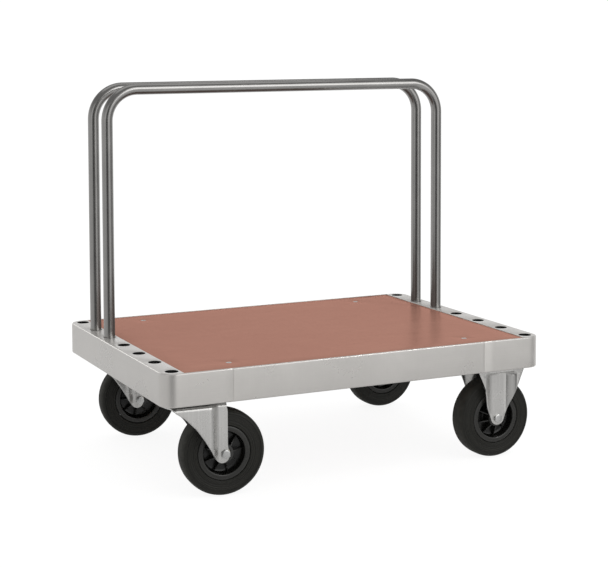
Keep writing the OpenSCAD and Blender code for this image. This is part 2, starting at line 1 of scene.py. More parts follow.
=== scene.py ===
import json
import math
import bpy
import bmesh
import numpy as np
from mathutils import Matrix, Vector
from mathutils.geometry import delaunay_2d_cdt

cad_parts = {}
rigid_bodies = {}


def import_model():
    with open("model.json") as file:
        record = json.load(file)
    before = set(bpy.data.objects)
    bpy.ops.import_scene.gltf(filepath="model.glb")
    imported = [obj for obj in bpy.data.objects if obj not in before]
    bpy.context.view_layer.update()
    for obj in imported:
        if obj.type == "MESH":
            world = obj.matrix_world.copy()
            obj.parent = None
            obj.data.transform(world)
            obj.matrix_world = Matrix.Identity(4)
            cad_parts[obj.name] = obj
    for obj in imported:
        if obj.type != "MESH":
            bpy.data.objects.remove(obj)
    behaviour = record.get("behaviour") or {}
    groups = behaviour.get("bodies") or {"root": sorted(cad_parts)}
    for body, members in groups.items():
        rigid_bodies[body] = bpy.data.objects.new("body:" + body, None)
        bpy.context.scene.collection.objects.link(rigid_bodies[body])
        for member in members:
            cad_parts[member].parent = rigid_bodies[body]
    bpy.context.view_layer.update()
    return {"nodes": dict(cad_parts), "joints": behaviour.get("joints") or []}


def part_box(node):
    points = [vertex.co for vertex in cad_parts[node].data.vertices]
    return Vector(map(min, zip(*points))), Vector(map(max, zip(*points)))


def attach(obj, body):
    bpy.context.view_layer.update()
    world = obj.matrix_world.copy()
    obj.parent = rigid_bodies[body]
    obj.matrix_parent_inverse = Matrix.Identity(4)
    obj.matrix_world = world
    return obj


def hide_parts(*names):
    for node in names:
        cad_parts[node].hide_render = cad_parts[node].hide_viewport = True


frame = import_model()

MM = 0.001
PI = math.pi
JOINTS = {j["name"]: j for j in frame["joints"]}

# =====================================================================
# geometry helpers (lengths in millimetres, meshes in metres)
# =====================================================================


def piece(name, verts, faces, mat, body, slot=None, nodes=(), at=None, sharp=34, uv=None, index=None, weld=1e-4):
    """Makes one closed mesh piece, in place, riding on its CAD body."""
    me = bpy.data.meshes.new(name)
    me.from_pydata((np.asarray(verts, float) * MM).tolist(), [], [tuple(int(i) for i in f) for f in faces])
    if uv is not None:
        lay = me.uv_layers.new(name="UVMap")
        idx = np.zeros(len(me.loops), np.int64)
        me.loops.foreach_get("vertex_index", idx)
        lay.data.foreach_set("uv", np.asarray(uv, np.float32)[idx].ravel())
    if index is not None:
        me.polygons.foreach_set("material_index", np.asarray(index, np.int32))
    bm = bmesh.new()
    bm.from_mesh(me)
    bmesh.ops.remove_doubles(bm, verts=bm.verts, dist=weld * MM)
    bmesh.ops.dissolve_degenerate(bm, edges=bm.edges, dist=weld * MM)
    loose = [v for v in bm.verts if not v.link_faces]
    bmesh.ops.delete(bm, geom=loose, context="VERTS")
    bmesh.ops.recalc_face_normals(bm, faces=bm.faces)
    bm.to_mesh(me)
    bm.free()
    me.polygons.foreach_set("use_smooth", [True] * len(me.polygons))
    me.set_sharp_from_angle(angle=math.radians(sharp))
    for m in mat if isinstance(mat, (list, tuple)) else [mat]:
        me.materials.append(m)
    o = bpy.data.objects.new(name, me)
    bpy.context.scene.collection.objects.link(o)
    if at is not None:
        o.matrix_world = at
    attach(o, body)
    if nodes:
        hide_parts(*nodes)
    return o


class Parts:
    """Collects several closed shells into one piece."""

    def __init__(self):
        self.v, self.f, self.n, self.uv, self.idx = [], [], 0, [], []

    def add(self, verts, faces, m=None, uv=None, index=0):
        verts = np.asarray(verts, float)
        if m is not None:
            m = np.asarray(m, float)
            verts = verts @ m[:3, :3].T + m[:3, 3]
        self.v.append(verts)
        self.f += [tuple(i + self.n for i in f) for f in faces]
        self.idx += [index] * len(faces)
        self.uv.append(np.zeros((len(verts), 2)) if uv is None else np.asarray(uv, float))
        self.n += len(verts)
        return self

    def piece(self, name, mat, body, **kw):
        return piece(name, np.concatenate(self.v), self.f, mat, body, uv=np.concatenate(self.uv), index=self.idx, **kw)


def rounded(pts, rad, seg=4, closed=True):
    """The polyline with its corners rounded by arcs."""
    out = []
    n = len(pts)
    pts = [np.array(p, float) for p in pts]
    for i in range(n):
        p = pts[i]
        r = rad[i] if hasattr(rad, "__len__") else rad
        if r <= 0 or (not closed and i in (0, n - 1)):
            out.append(p)
            continue
        a, b = pts[i - 1] - p, pts[(i + 1) % n] - p
        la, lb = np.linalg.norm(a), np.linalg.norm(b)
        a, b = a / la, b / lb
        ang = math.acos(max(-1, min(1, float(a @ b))))
        if ang > PI - 0.02:
            out.append(p)
            continue
        t = min(r / math.tan(ang / 2), la * 0.49, lb * 0.49)
        rr = t * math.tan(ang / 2)
        h = (a + b) / np.linalg.norm(a + b)
        c = p + h * rr / math.sin(ang / 2)
        p0, p1 = p + a * t, p + b * t
        a0 = math.atan2(p0[1] - c[1], p0[0] - c[0])
        a1 = math.atan2(p1[1] - c[1], p1[0] - c[0])
        d = (a1 - a0 + PI) % (2 * PI) - PI
        for k in range(seg + 1):
            q = a0 + d * k / seg
            out.append(np.array([c[0] + rr * math.cos(q), c[1] + rr * math.sin(q)]))
    return out


def lathe(profile, n=96, closed=True, half=0.0):
    """Revolves (radius, height) pairs round the Z axis."""
    prof = np.array(profile, float)
    m = len(prof)
    ang = np.arange(n) * 2 * PI / n + half
    v = np.stack([np.outer(np.cos(ang), prof[:, 0]), np.outer(np.sin(ang), prof[:, 0]), np.tile(prof[:, 1], (n, 1))], -1).reshape(-1, 3)
    f = []
    for i in range(n):
        j = (i + 1) % n
        for k in range(m if closed else m - 1):
            l = (k + 1) % m
            f.append((i * m + k, j * m + k, j * m + l, i * m + l))
    return v, f


def grid_faces(rows, cols, wrap_rows=False, wrap_cols=False):
    f = []
    for i in range(rows if wrap_rows else rows - 1):
        for k in range(cols if wrap_cols else cols - 1):
            a, b = i, (i + 1) % rows
            c, d = k, (k + 1) % cols
            f.append((a * cols + c, b * cols + c, b * cols + d, a * cols + d))
    return f


def circle(cx, cy, r, n=40, start=0.0):
    return [np.array([cx + r * math.cos(start + 2 * PI * i / n), cy + r * math.sin(start + 2 * PI * i / n)]) for i in range(n)]


def inside(poly, p):
    poly = np.asarray(poly)
    x, y = p[:, 0], p[:, 1]
    res = np.zeros(len(p), bool)
    for i in range(len(poly)):
        x0, y0 = poly[i - 1]
        x1, y1 = poly[i]
        if y0 == y1:
            continue
        hit = ((y0 > y) != (y1 > y)) & (x < (x1 - x0) * (y - y0) / (y1 - y0) + x0)
        res ^= hit
    return res


def blank(outer, holes=(), lines=(), pts=()):
    """Triangulates a flat region with holes, keeping the given lines as edges."""
    verts, edges, seen = [], [], {}

    def vid(p):
        k = (round(float(p[0]), 4), round(float(p[1]), 4))
        if k not in seen:
            seen[k] = len(verts)
            verts.append(Vector(k))
        return seen[k]

    for loop in [outer] + list(holes):
        ids = [vid(p) for p in loop]
        edges += [(ids[i - 1], ids[i]) for i in range(len(ids)) if ids[i - 1] != ids[i]]
    for line in lines:
        ids = [vid(p) for p in line]
        edges += [(ids[i - 1], ids[i]) for i in range(1, len(ids)) if ids[i - 1] != ids[i]]
    if len(pts):
        pts = np.asarray(pts, float)
        keep = inside(outer, pts)
        for h in holes:
            keep &= ~inside(h, pts)
        # keep clear of the outline and the holes
        allp = np.concatenate([np.asarray(l) for l in [outer] + list(holes)])
        for i in range(0, len(pts), 2000):
            d = np.linalg.norm(pts[i:i + 2000, None] - allp[None], axis=2).min(1)
            keep[i:i + 2000] &= d > 0.9
        for p in pts[keep]:
            vid(p)
    vo, _, fo_, _, _, _ = delaunay_2d_cdt(verts, edges, [], 0, 1e-5)
    vo = np.array([(p[0], p[1]) for p in vo])
    tri = np.array([f for f in fo_ if len(f) == 3])
    c = vo[tri].mean(1)
    keep = inside(outer, c)
    for h in holes:
        keep &= ~inside(h, c)
    tri = tri[keep]
    a, b, d = vo[tri[:, 0]], vo[tri[:, 1]], vo[tri[:, 2]]
    area = (b[:, 0] - a[:, 0]) * (d[:, 1] - a[:, 1]) - (b[:, 1] - a[:, 1]) * (d[:, 0] - a[:, 0])
    tri = tri[np.abs(area) > 1e-7]
    area = area[np.abs(area) > 1e-7]
    tri[area < 0] = tri[area < 0][:, ::-1]
    return vo, tri


def thicken(out, nrm, faces, t, e=0.5, seg=2):
    """A sheet of thickness t below the outer skin, with its cut edges rounded by e. Faces turn anticlockwise seen from outside."""
    out, nrm = np.asarray(out, float), np.asarray(nrm, float)
    n = len(out)
    inn = out - nrm * t
    count = {}
    for f in faces:
        m = len(f)
        for i in range(m):
            a, b = int(f[i]), int(f[(i + 1) % m])
            count[(a, b)] = count.get((a, b), 0) + 1
    nxt, prv = {}, {}
    rim = [(a, b) for (a, b) in count if (b, a) not in count]
    for a, b in rim:
        nxt[a] = b
        prv[b] = a
    verts = [out, inn]
    fs = [tuple(int(i) for i in f) for f in faces] + [tuple(int(i) + n for i in f[::-1]) for f in faces]
    ids = sorted(set(nxt) & set(prv))
    pos = {v: i for i, v in enumerate(ids)}
    tau = out[[nxt[i] for i in ids]] - out[[prv[i] for i in ids]]
    tau /= np.maximum(np.linalg.norm(tau, axis=1)[:, None], 1e-9)
    nn = nrm[ids]
    m = np.cross(tau, nn)
    m /= np.maximum(np.linalg.norm(m, axis=1)[:, None], 1e-9)
    rows = [out[ids]]
    steps = [PI / 2 * k / seg for k in range(1, seg + 1)]
    for q in steps:
        rows.append(out[ids] - nn * e * (1 - math.cos(q)) + m * e * math.sin(q))
    for q in steps[::-1]:
        rows.append(inn[ids] + nn * e * (1 - math.cos(q)) + m * e * math.sin(q))
    rows.append(inn[ids])
    base = 2 * n
    extra = rows[1:-1]
    for r in extra:
        verts.append(r)
    k = len(ids)

    def vi(row, i):
        if row == 0:
            return ids[i]
        if row == len(rows) - 1:
            return ids[i] + n
        return base + (row - 1) * k + i

    for a, b in rim:
        if a in pos and b in pos:
            i, j = pos[a], pos[b]
            for r in range(len(rows) - 1):
                fs.append((vi(r, j), vi(r, i), vi(r + 1, i), vi(r + 1, j)))
    return np.concatenate(verts), fs


def skin_weld(parts):
    """Joins skins (verts, normals, faces) where their points meet."""
    V, Nn, F, seen = [], [], [], {}
    for v, nr, f in parts:
        m = []
        for p, q in zip(np.asarray(v, float), np.asarray(nr, float)):
            k = tuple(np.round(p, 3) + 0.0)
            if k not in seen:
                seen[k] = len(V)
                V.append(p)
                Nn.append(q)
            m.append(seen[k])
        F += [g for g in (tuple(m[i] for i in t) for t in f) if len(set(g)) == len(g)]
    return np.array(V), np.array(Nn), F


def flat_skin(outer, holes, z, up=1, pts=(), lines=()):
    v, t = blank(outer, holes, lines, pts)
    v3 = np.column_stack([v, np.full(len(v), z)])
    if up < 0:
        t = t[:, ::-1]
    return v3, np.tile([0, 0, float(up)], (len(v3), 1)), [tuple(i) for i in t]


def plate(outer, holes, z_top, t, e=0.6, seg=2):
    """A flat plate with rounded edges."""
    v, n, f = flat_skin(outer, holes, z_top)
    return thicken(v, n, f, t, e, seg)


def sstep(t):
    t = np.clip(t, 0, 1)
    return t * t * (3 - 2 * t)


def hexhead(af, h, z=0.0, cham=30.0, bore=0.0, both=False, edge=0.35, washer=None, dome=0.0):
    """A hexagon head or nut with turned chamfers, standing on z."""
    k = 12
    n = 6 * k
    v, rows = [], []
    rc = af / 2 * 0.965
    for i in range(n):
        a = 2 * PI * i / n
        m = (a + PI / 6) % (PI / 3) - PI / 6
        rr = af / 2 / math.cos(m)
        # corners of the hexagon slightly rounded
        rr = min(rr, af / 2 / math.cos(PI / 6) - 0.25)
        zc = h - max(0.0, rr - rc) * math.tan(math.radians(cham))
        zb = max(0.0, rr - rc) * math.tan(math.radians(cham)) if both else 0.0
        col = []
        if bore > 0:
            col += [(bore, 0.6), (bore + 0.6, 0.0)]
        else:
            col += [(0.0, 0.0)]
        if washer:
            col += [(washer[0] - 0.2, 0.0), (washer[0], 0.2), (washer[0], washer[1])]
            low = washer[1]
        else:
            low = 0.0
        col += [(rc if both else rr - edge, low), (rr, low + (zb if both else edge)), (rr, zc), (rc, h)]
        if bore > 0:
            col += [(bore + 0.8, h), (bore, h - 0.8)]
        else:
            col += [(rc * 0.7, h + dome * 0.5), (rc * 0.35, h + dome * 0.9), (0.0, h + dome)]
        rows.append(len(col))
        v += [(r * math.cos(a), r * math.sin(a), z + q) for r, q in col]
    m = rows[0]
    return np.array(v), grid_faces(n, m, True, bore > 0)


def thread(r, z0, z1, pitch=1.5, depth=0.6, n=40, tip=1.2):
    """A threaded end as a helical ridge on a core, closed at both ends."""
    m = max(8, int((z1 - z0) / pitch * 6))
    v = []
    for i in range(n):
        a = 2 * PI * i / n
        col = [(0.0, z0)]
        for k in range(m + 1):
            zz = z0 + (z1 - z0) * k / m
            ph = ((zz / pitch) - a / (2 * PI)) % 1.0
            rr = r - depth * (1 - abs(2 * ph - 1)) * 0.9
            rr = min(rr, r - max(0.0, zz - (z1 - tip)) * 0.8)
            col.append((rr, zz))
        col.append((0.0, z1))
        v += [(q * math.cos(a), q * math.sin(a), zz) for q, zz in col]
    return np.array(v), grid_faces(n, m + 3, True, False)


def T(x=0, y=0, z=0):
    m = np.eye(4)
    m[:3, 3] = [x, y, z]
    return m


def RZ(a):
    m = np.eye(4)
    c, s = math.cos(a), math.sin(a)
    m[:2, :2] = [[c, -s], [s, c]]
    return m


def RX(a):
    m = np.eye(4)
    c, s = math.cos(a), math.sin(a)
    m[1:3, 1:3] = [[c, -s], [s, c]]
    return m


def world(m):
    """The matrix in metres."""
    m = np.array(m, float)
    m[:3, 3] *= MM
    return Matrix([list(r) for r in m])


# =====================================================================
# materials
# =====================================================================


class Mat:
    def __init__(self, name):
        self.m = bpy.data.materials.new(name)
        self.m.use_nodes = True
        self.t = self.m.node_tree
        self.t.nodes.clear()
        self.out = self.node("ShaderNodeOutputMaterial")
        self.b = self.node("ShaderNodeBsdfPrincipled")
        self.link(self.b.outputs[0], self.out.inputs["Surface"])
        self.tc = self.node("ShaderNodeTexCoord")
        self.geo = self.node("ShaderNodeNewGeometry")

    def node(self, typ, **kw):
        n = self.t.nodes.new(typ)
        for k, v in kw.items():
            setattr(n, k, v)
        return n

    def link(self, a, b):
        self.t.links.new(a, b)

    def put(self, sock, val):
        if isinstance(val, bpy.types.NodeSocket):
            self.link(val, sock)
        elif val is not None:
            sock.default_value = val

    def math(self, op, a, b=None, c=None, clamp=False):
        n = self.node("ShaderNodeMath", operation=op, use_clamp=clamp)
        self.put(n.inputs[0], a)
        self.put(n.inputs[1], b)
        self.put(n.inputs[2], c)
        return n.outputs[0]

    def coord(self, scale=(1, 1, 1), uv=False, loc=(0, 0, 0)):
        n = self.node("ShaderNodeMapping")
        n.inputs["Scale"].default_value = scale
        n.inputs["Location"].default_value = loc
        self.link(self.tc.outputs["UV" if uv else "Object"], n.inputs["Vector"])
        return n.outputs[0]

    def noise(self, scale, detail=3, rough=0.5, stretch=(1, 1, 1), uv=False, loc=(0, 0, 0), distort=0.0):
        n = self.node("ShaderNodeTexNoise")
        n.inputs["Scale"].default_value = scale
        n.inputs["Detail"].default_value = detail
        n.inputs["Roughness"].default_value = rough
        n.inputs["Distortion"].default_value = distort
        self.link(self.coord(stretch, uv, loc), n.inputs["Vector"])
        return n.outputs["Fac"]

    def voronoi(self, scale, feature="F1", stretch=(1, 1, 1), out="Distance"):
        n = self.node("ShaderNodeTexVoronoi", feature=feature)
        n.inputs["Scale"].default_value = scale
        self.link(self.coord(stretch), n.inputs["Vector"])
        return n.outputs[out]

    def remap(self, x, a, b, c=0.0, d=1.0, smooth=False):
        n = self.node("ShaderNodeMapRange")
        if smooth:
            n.interpolation_type = "SMOOTHSTEP"
        n.inputs["From Min"].default_value = a
        n.inputs["From Max"].default_value = b
        n.inputs["To Min"].default_value = c
        n.inputs["To Max"].default_value = d
        self.link(x, n.inputs["Value"])
        return n.outputs[0]

    def mix(self, fac, a, b):
        n = self.node("ShaderNodeMix", data_type="RGBA")
        self.put(n.inputs["Factor"], fac)
        for s, v in ((n.inputs[6], a), (n.inputs[7], b)):
            if isinstance(v, (tuple, list)):
                s.default_value = tuple(v)[:3] + (1.0,)
            else:
                self.link(v, s)
        return n.outputs[2]

    def bump(self, height, strength=0.2, dist=0.001, normal=None):
        n = self.node("ShaderNodeBump")
        n.inputs["Strength"].default_value = strength
        n.inputs["Distance"].default_value = dist
        self.link(height, n.inputs["Height"])
        if normal is not None:
            self.link(normal, n.inputs["Normal"])
        return n.outputs[0]

    def xyz(self):
        n = self.node("ShaderNodeSeparateXYZ")
        self.link(self.tc.outputs["Object"], n.inputs[0])
        return n.outputs

    def edges(self, lo=0.51, hi=0.56):
        return self.remap(self.geo.outputs["Pointiness"], lo, hi)

    def done(self, color=None, rough=None, metal=None, normal=None, **kw):
        if color is not None:
            if isinstance(color, (tuple, list)):
                self.b.inputs["Base Color"].default_value = tuple(color)[:3] + (1.0,)
            else:
                self.link(color, self.b.inputs["Base Color"])
        self.put(self.b.inputs["Roughness"], rough)
        self.put(self.b.inputs["Metallic"], metal)
        if normal is not None:
            self.link(normal, self.b.inputs["Normal"])
        for k, v in kw.items():
            self.put(self.b.inputs[k.replace("_", " ")], v)
        return self.m


def zinc(name, base, rough, metal=0.85, lines=1.0, mottle=0.05, relief=0.10, grit=1.0, marks=1.0, drawn=0.0, painted_shade_mouths=None):
    """Zinc-plated sheet: faint rolling lines, cloudy passivation, small scratches."""
    m = Mat(name)
    cloud = m.noise(7.0, 4, 0.55, distort=0.6)
    fine = m.noise(140.0, 3, 0.6)
    roll = m.noise(1.0, 3, 0.5, stretch=(6, 6, 900))
    roll2 = m.noise(1.0, 3, 0.5, stretch=(700, 9, 9), loc=(3, 1, 0))
    scr = m.noise(1.0, 2, 0.5, stretch=(35, 35, 1500), loc=(5, 2, 7))
    scratch = m.remap(scr, 0.70, 0.76)
    v = m.math("ADD", m.remap(cloud, 0.3, 0.7, -mottle, mottle), m.remap(roll, 0.25, 0.75, -0.022 * lines, 0.022 * lines))
    v = m.math("ADD", v, m.remap(roll2, 0.25, 0.75, -0.012 * lines, 0.012 * lines))
    if drawn:
        # drag marks left by the press, running down the legs
        drag = m.noise(1.0, 3, 0.55, stretch=(150, 40, 3), loc=(2, 4, 1))
        v = m.math("ADD", v, m.remap(drag, 0.3, 0.7, -drawn, drawn))
    v = m.math("ADD", v, m.remap(fine, 0.3, 0.7, -0.014 * grit, 0.014 * grit))
    v = m.math("ADD", v, m.math("MULTIPLY", scratch, 0.05 * marks))
    v = m.math("ADD", v, m.math("MULTIPLY", m.edges(), 0.10))
    v = m.math("ADD", v, 1.0)
    inside = None
    if painted_shade_mouths:
        # the cut edge of each socket hole is painted near-black: painted shade for the dark hole below it
        s = m.xyz()
        dx = m.math("SUBTRACT", m.math("ABSOLUTE", s[0]), painted_shade_mouths[0])
        dy = m.math("PINGPONG", s[1], painted_shade_mouths[1] / 2)
        rad = m.math("SQRT", m.math("ADD", m.math("MULTIPLY", dx, dx), m.math("MULTIPLY", dy, dy)))
        inside = m.math("MULTIPLY", m.remap(rad, painted_shade_mouths[2], painted_shade_mouths[2] + 0.0001, 1.0, 0.0), m.remap(s[2], painted_shade_mouths[3], painted_shade_mouths[3] + 0.0001))
        v = m.math("MULTIPLY", v, m.remap(inside, 0, 1, 1.0, 0.02))
    n = m.node("ShaderNodeVectorMath", operation="SCALE")
    n.inputs[0].default_value = base
    m.link(v, n.inputs["Scale"])
    r = m.math("ADD", m.remap(cloud, 0.3, 0.7, rough - 0.05, rough + 0.06), m.remap(fine, 0.3, 0.7, -0.02 * grit, 0.02 * grit))
    r = m.math("SUBTRACT", r, m.math("MULTIPLY", scratch, 0.05 * marks))
    h = m.math("ADD", m.math("MULTIPLY", roll, 0.35 * lines), m.math("MULTIPLY", fine, 0.5 * grit))
    nb = m.bump(h, relief, 0.0002)
    return m.done(n.outputs[0], r, metal, nb)


def bright_zinc(name, base=(0.63, 0.63, 0.62), rough=0.26):
    """Bright-plated fasteners."""
    m = Mat(name)
    n1 = m.noise(180.0, 3, 0.6)
    n2 = m.noise(40.0, 2, 0.5)
    c = m.mix(m.remap(n2, 0.35, 0.65), tuple(x * 0.90 for x in base), tuple(min(1, x * 1.07) for x in base))
    r = m.remap(n1, 0.3, 0.7, rough - 0.07, rough + 0.09)
    return m.done(c, r, 1.0, m.bump(n1, 0.12, 0.0002))


def tube_steel(name):
    """Drawn tube: fine lines along its length, slight clouding, a few rub marks."""
    m = Mat(name)
    draw = m.noise(1.0, 4, 0.6, stretch=(70, 1.6, 1), uv=True)
    draw2 = m.noise(1.0, 3, 0.5, stretch=(22, 0.7, 1), uv=True, loc=(4, 2, 0))
    cloud = m.noise(9.0, 4, 0.6, distort=0.8)
    speck = m.noise(420.0, 2, 0.5)
    v = m.math("ADD", m.remap(draw, 0.25, 0.75, 0.84, 1.14), m.remap(draw2, 0.25, 0.75, -0.08, 0.08))
    v = m.math("ADD", v, m.remap(cloud, 0.3, 0.7, -0.06, 0.06))
    n = m.node("ShaderNodeVectorMath", operation="SCALE")
    n.inputs[0].default_value = (0.385, 0.378, 0.368)
    m.link(v, n.inputs["Scale"])
    r = m.math("ADD", m.remap(draw, 0.25, 0.75, 0.17, 0.27), m.remap(cloud, 0.3, 0.7, -0.02, 0.03))
    h = m.math("ADD", m.math("MULTIPLY", draw, 1.0), m.math("MULTIPLY", speck, 0.05))
    return m.done(n.outputs[0], r, 1.0, m.bump(h, 0.07, 0.0002))


BOARD_GLOSS = (0.66, 0.34, 0.27)


def film_board(name):
    """Film-faced board: red-brown phenolic film with a fine grain, thin scuffs and dust."""
    m = Mat(name)
    cloud = m.noise(3.2, 5, 0.55, distort=0.5)
    grain = m.noise(1.0, 4, 0.6, stretch=(14, 260, 260))
    tiny = m.noise(900.0, 2, 0.6)
    scr = m.noise(1.0, 2, 0.55, stretch=(8, 420, 8), loc=(2, 5, 1))
    scr2 = m.noise(1.0, 2, 0.55, stretch=(380, 10, 10), loc=(7, 3, 1))
    scratch = m.math("MAXIMUM", m.remap(scr, 0.73, 0.79), m.remap(scr2, 0.74, 0.80))
    c = m.mix(m.remap(cloud, 0.3, 0.7), (0.366, 0.187, 0.141), (0.410, 0.214, 0.163))
    c = m.mix(m.math("MULTIPLY", m.remap(grain, 0.35, 0.75), 0.20), c, (0.150, 0.070, 0.052))
    c = m.mix(m.math("MULTIPLY", m.remap(tiny, 0.55, 0.75), 0.12), c, (0.36, 0.20, 0.155))
    c = m.mix(m.math("MULTIPLY", scratch, 0.22), c, (0.44, 0.27, 0.22))
    # seen by reflection rays the board's colour becomes a dark neutral grey: a painted reflection of the board in the
    # other parts
    lpn = m.node("ShaderNodeLightPath")
    c = m.mix(m.math("MULTIPLY", lpn.outputs["Is Glossy Ray"], 0.82), c, (0.105, 0.100, 0.097))
    r = m.math("ADD", m.remap(cloud, 0.3, 0.7, 0.235, 0.285), m.remap(tiny, 0.3, 0.7, -0.03, 0.04))
    r = m.math("ADD", r, m.math("MULTIPLY", scratch, 0.12))
    h = m.math("ADD", m.math("MULTIPLY", grain, 0.5), m.math("MULTIPLY", tiny, 0.6))
    nb = m.bump(h, 0.06, 0.0002)
    m.done(c, 0.6, 0.0, nb, Specular_IOR_Level=0.0)
    # the film's own gloss is tinted by its pigment; seen by reflection rays it turns neutral grey, a painted reflection
    # of the board in the other parts
    gl = m.node("ShaderNodeBsdfGlossy")
    m.link(m.mix(m.math("MULTIPLY", lpn.outputs["Is Glossy Ray"], 0.9), BOARD_GLOSS, (0.34, 0.33, 0.32)), gl.inputs["Color"])
    m.link(r, gl.inputs["Roughness"])
    m.link(nb, gl.inputs["Normal"])
    fr = m.node("ShaderNodeFresnel")
    fr.inputs["IOR"].default_value = 1.45
    m.link(nb, fr.inputs["Normal"])
    mx = m.node("ShaderNodeMixShader")
    m.link(fr.outputs[0], mx.inputs[0])
    m.link(m.b.outputs[0], mx.inputs[1])
    m.link(gl.outputs[0], mx.inputs[2])
    m.link(mx.outputs[0], m.out.inputs["Surface"])
    return m.m


def ply_edge(name):
    """Cut edge of the board: thin veneers of alternating tone, sealed."""
    m = Mat(name)
    z = m.xyz()[2]
    wob = m.noise(30.0, 3, 0.5)
    zz = m.math("ADD", z, m.remap(wob, 0, 1, -0.00025, 0.00025))
    w = m.math("SINE", m.math("MULTIPLY", zz, 2 * PI / 0.0027))
    fib = m.noise(1.0, 4, 0.6, stretch=(60, 60, 700))
    c = m.mix(m.remap(w, -0.4, 0.4), (0.21, 0.095, 0.055), (0.36, 0.20, 0.12))
    c = m.mix(m.math("MULTIPLY", fib, 0.4), c, (0.14, 0.06, 0.04))
    return m.done(c, m.remap(fib, 0.3, 0.7, 0.55, 0.75), 0.0, m.bump(fib, 0.25, 0.0004))


def rubber(name):
    """Solid rubber tyre: matt grey-black, moulding rings, a lighter and rougher tread band."""
    m = Mat(name)
    s = m.xyz()
    rad = m.math("SQRT", m.math("ADD", m.math("MULTIPLY", s[0], s[0]), m.math("MULTIPLY", s[2], s[2])))
    n1 = m.noise(60.0, 4, 0.6)
    n2 = m.noise(500.0, 2, 0.6)
    rr = m.node("ShaderNodeCombineXYZ")
    m.link(m.math("MULTIPLY", rad, 330.0), rr.inputs[0])
    rn = m.node("ShaderNodeTexNoise")
    rn.inputs["Scale"].default_value = 1.0
    rn.inputs["Detail"].default_value = 3
    rn.inputs["Roughness"].default_value = 0.6
    m.link(rr.outputs[0], rn.inputs["Vector"])
    wav = m.remap(rn.outputs["Fac"], 0.32, 0.68, -1.0, 1.0)
    tread = m.remap(rad, 0.0935, 0.0995, smooth=True)
    side = m.math("SUBTRACT", 1.0, tread)
    v = m.math("ADD", m.remap(n1, 0.3, 0.7, 0.86, 1.14), m.math("MULTIPLY", m.math("MULTIPLY", wav, side), 0.75))
    n = m.node("ShaderNodeVectorMath", operation="SCALE")
    n.inputs[0].default_value = (0.0142, 0.0140, 0.0112)
    m.link(v, n.inputs["Scale"])
    # the tread band is made lighter and rougher than the sidewalls
    dust = m.math("MULTIPLY", tread, m.remap(n1, 0.35, 0.7, 0.25, 0.9))
    c = m.mix(m.math("MULTIPLY", dust, 0.5), n.outputs[0], (0.072, 0.070, 0.060))
    r = m.math("ADD", m.remap(n1, 0.3, 0.7, 0.46, 0.58), m.math("MULTIPLY", tread, 0.16))
    h = m.math("ADD", m.math("MULTIPLY", m.math("MULTIPLY", wav, side), 0.9), m.math("MULTIPLY", n2, 0.6))
    return m.done(c, r, 0.0, m.bump(h, 0.30, 0.0004), Specular_IOR_Level=0.26)


def moulded(name, base, rough, edge_wear_and_highlight=0.12, ring=None):
    """Injection-moulded plastic: fine erosion grain, slightly shinier edges painted lighter, partly wear and partly
    painted highlight, and an outer ring painted lighter as a painted highlight.
    """
    m = Mat(name)
    n1 = m.noise(700.0, 2, 0.6)
    n2 = m.noise(25.0, 4, 0.55)
    e = m.edges(0.505, 0.56)
    c = m.mix(m.remap(n2, 0.3, 0.7), tuple(x * 0.86 for x in base), tuple(x * 1.18 for x in base))
    if ring:
        s = m.xyz()
        rad = m.math("SQRT", m.math("ADD", m.math("MULTIPLY", s[0], s[0]), m.math("MULTIPLY", s[2], s[2])))
        # the outer ring is painted lighter than the dish: a painted highlight
        f = m.remap(rad, 0.0500, 0.0520, smooth=True)
        c = m.mix(m.math("MULTIPLY", f, m.remap(n2, 0.3, 0.7, 0.75, 1.0)), c, ring)
    # edges are painted lighter: partly wear, partly a painted highlight along rib tops and ring edges
    c = m.mix(m.math("MULTIPLY", e, edge_wear_and_highlight), c, tuple(min(1, x * 3 + 0.06) for x in base))
    r = m.math("SUBTRACT", m.remap(n2, 0.3, 0.7, rough - 0.05, rough + 0.07), m.math("MULTIPLY", e, 0.06))
    return m.done(c, r, 0.0, m.bump(n1, 0.12, 0.00025), Specular_IOR_Level=0.45)


M_INNER = zinc("zinc_sheet_inner", (0.50, 0.485, 0.46), 0.48, 0.5)
# near-black cup colour: painted shade for the dark inside of each socket, not the steel's own colour
M_CUP_PAINTED_SHADE = zinc("socket_cup_black_painted_shade", (0.006, 0.0059, 0.0056), 0.85, 0.0)
M_FORK = zinc("zinc_pressed_fork", (0.62, 0.612, 0.595), 0.25, 0.88, lines=0.6, mottle=0.05, relief=0.035, grit=0.4, marks=0.5, drawn=0.07)
M_TUBE = tube_steel("drawn_steel_tube")
M_BOARD = film_board("film_faced_board")
M_PLY = ply_edge("board_edge_veneers")
M_BOLT = bright_zinc("bright_zinc_fasteners")
M_BALL = bright_zinc("bearing_steel", (0.72, 0.72, 0.73), 0.14)
M_RUB = rubber("rubber_tyre")
# the ring colour given here paints a highlight on the rim's outer ring; the strong edge lightening (0.5) is partly
# wear, partly painted highlight on the ribs
M_RIM = moulded("moulded_rim_plastic", (0.0055, 0.0053, 0.0045), 0.25, 0.5, (0.0175, 0.0170, 0.0145))
M_PLUG = moulded("moulded_plug_plastic", (0.03, 0.03, 0.03), 0.5)
M_SEAL = moulded("seal_ring_plastic", (0.045, 0.045, 0.047), 0.42)
M_CAGE = moulded("roller_cage_plastic", (0.52, 0.47, 0.33), 0.45)

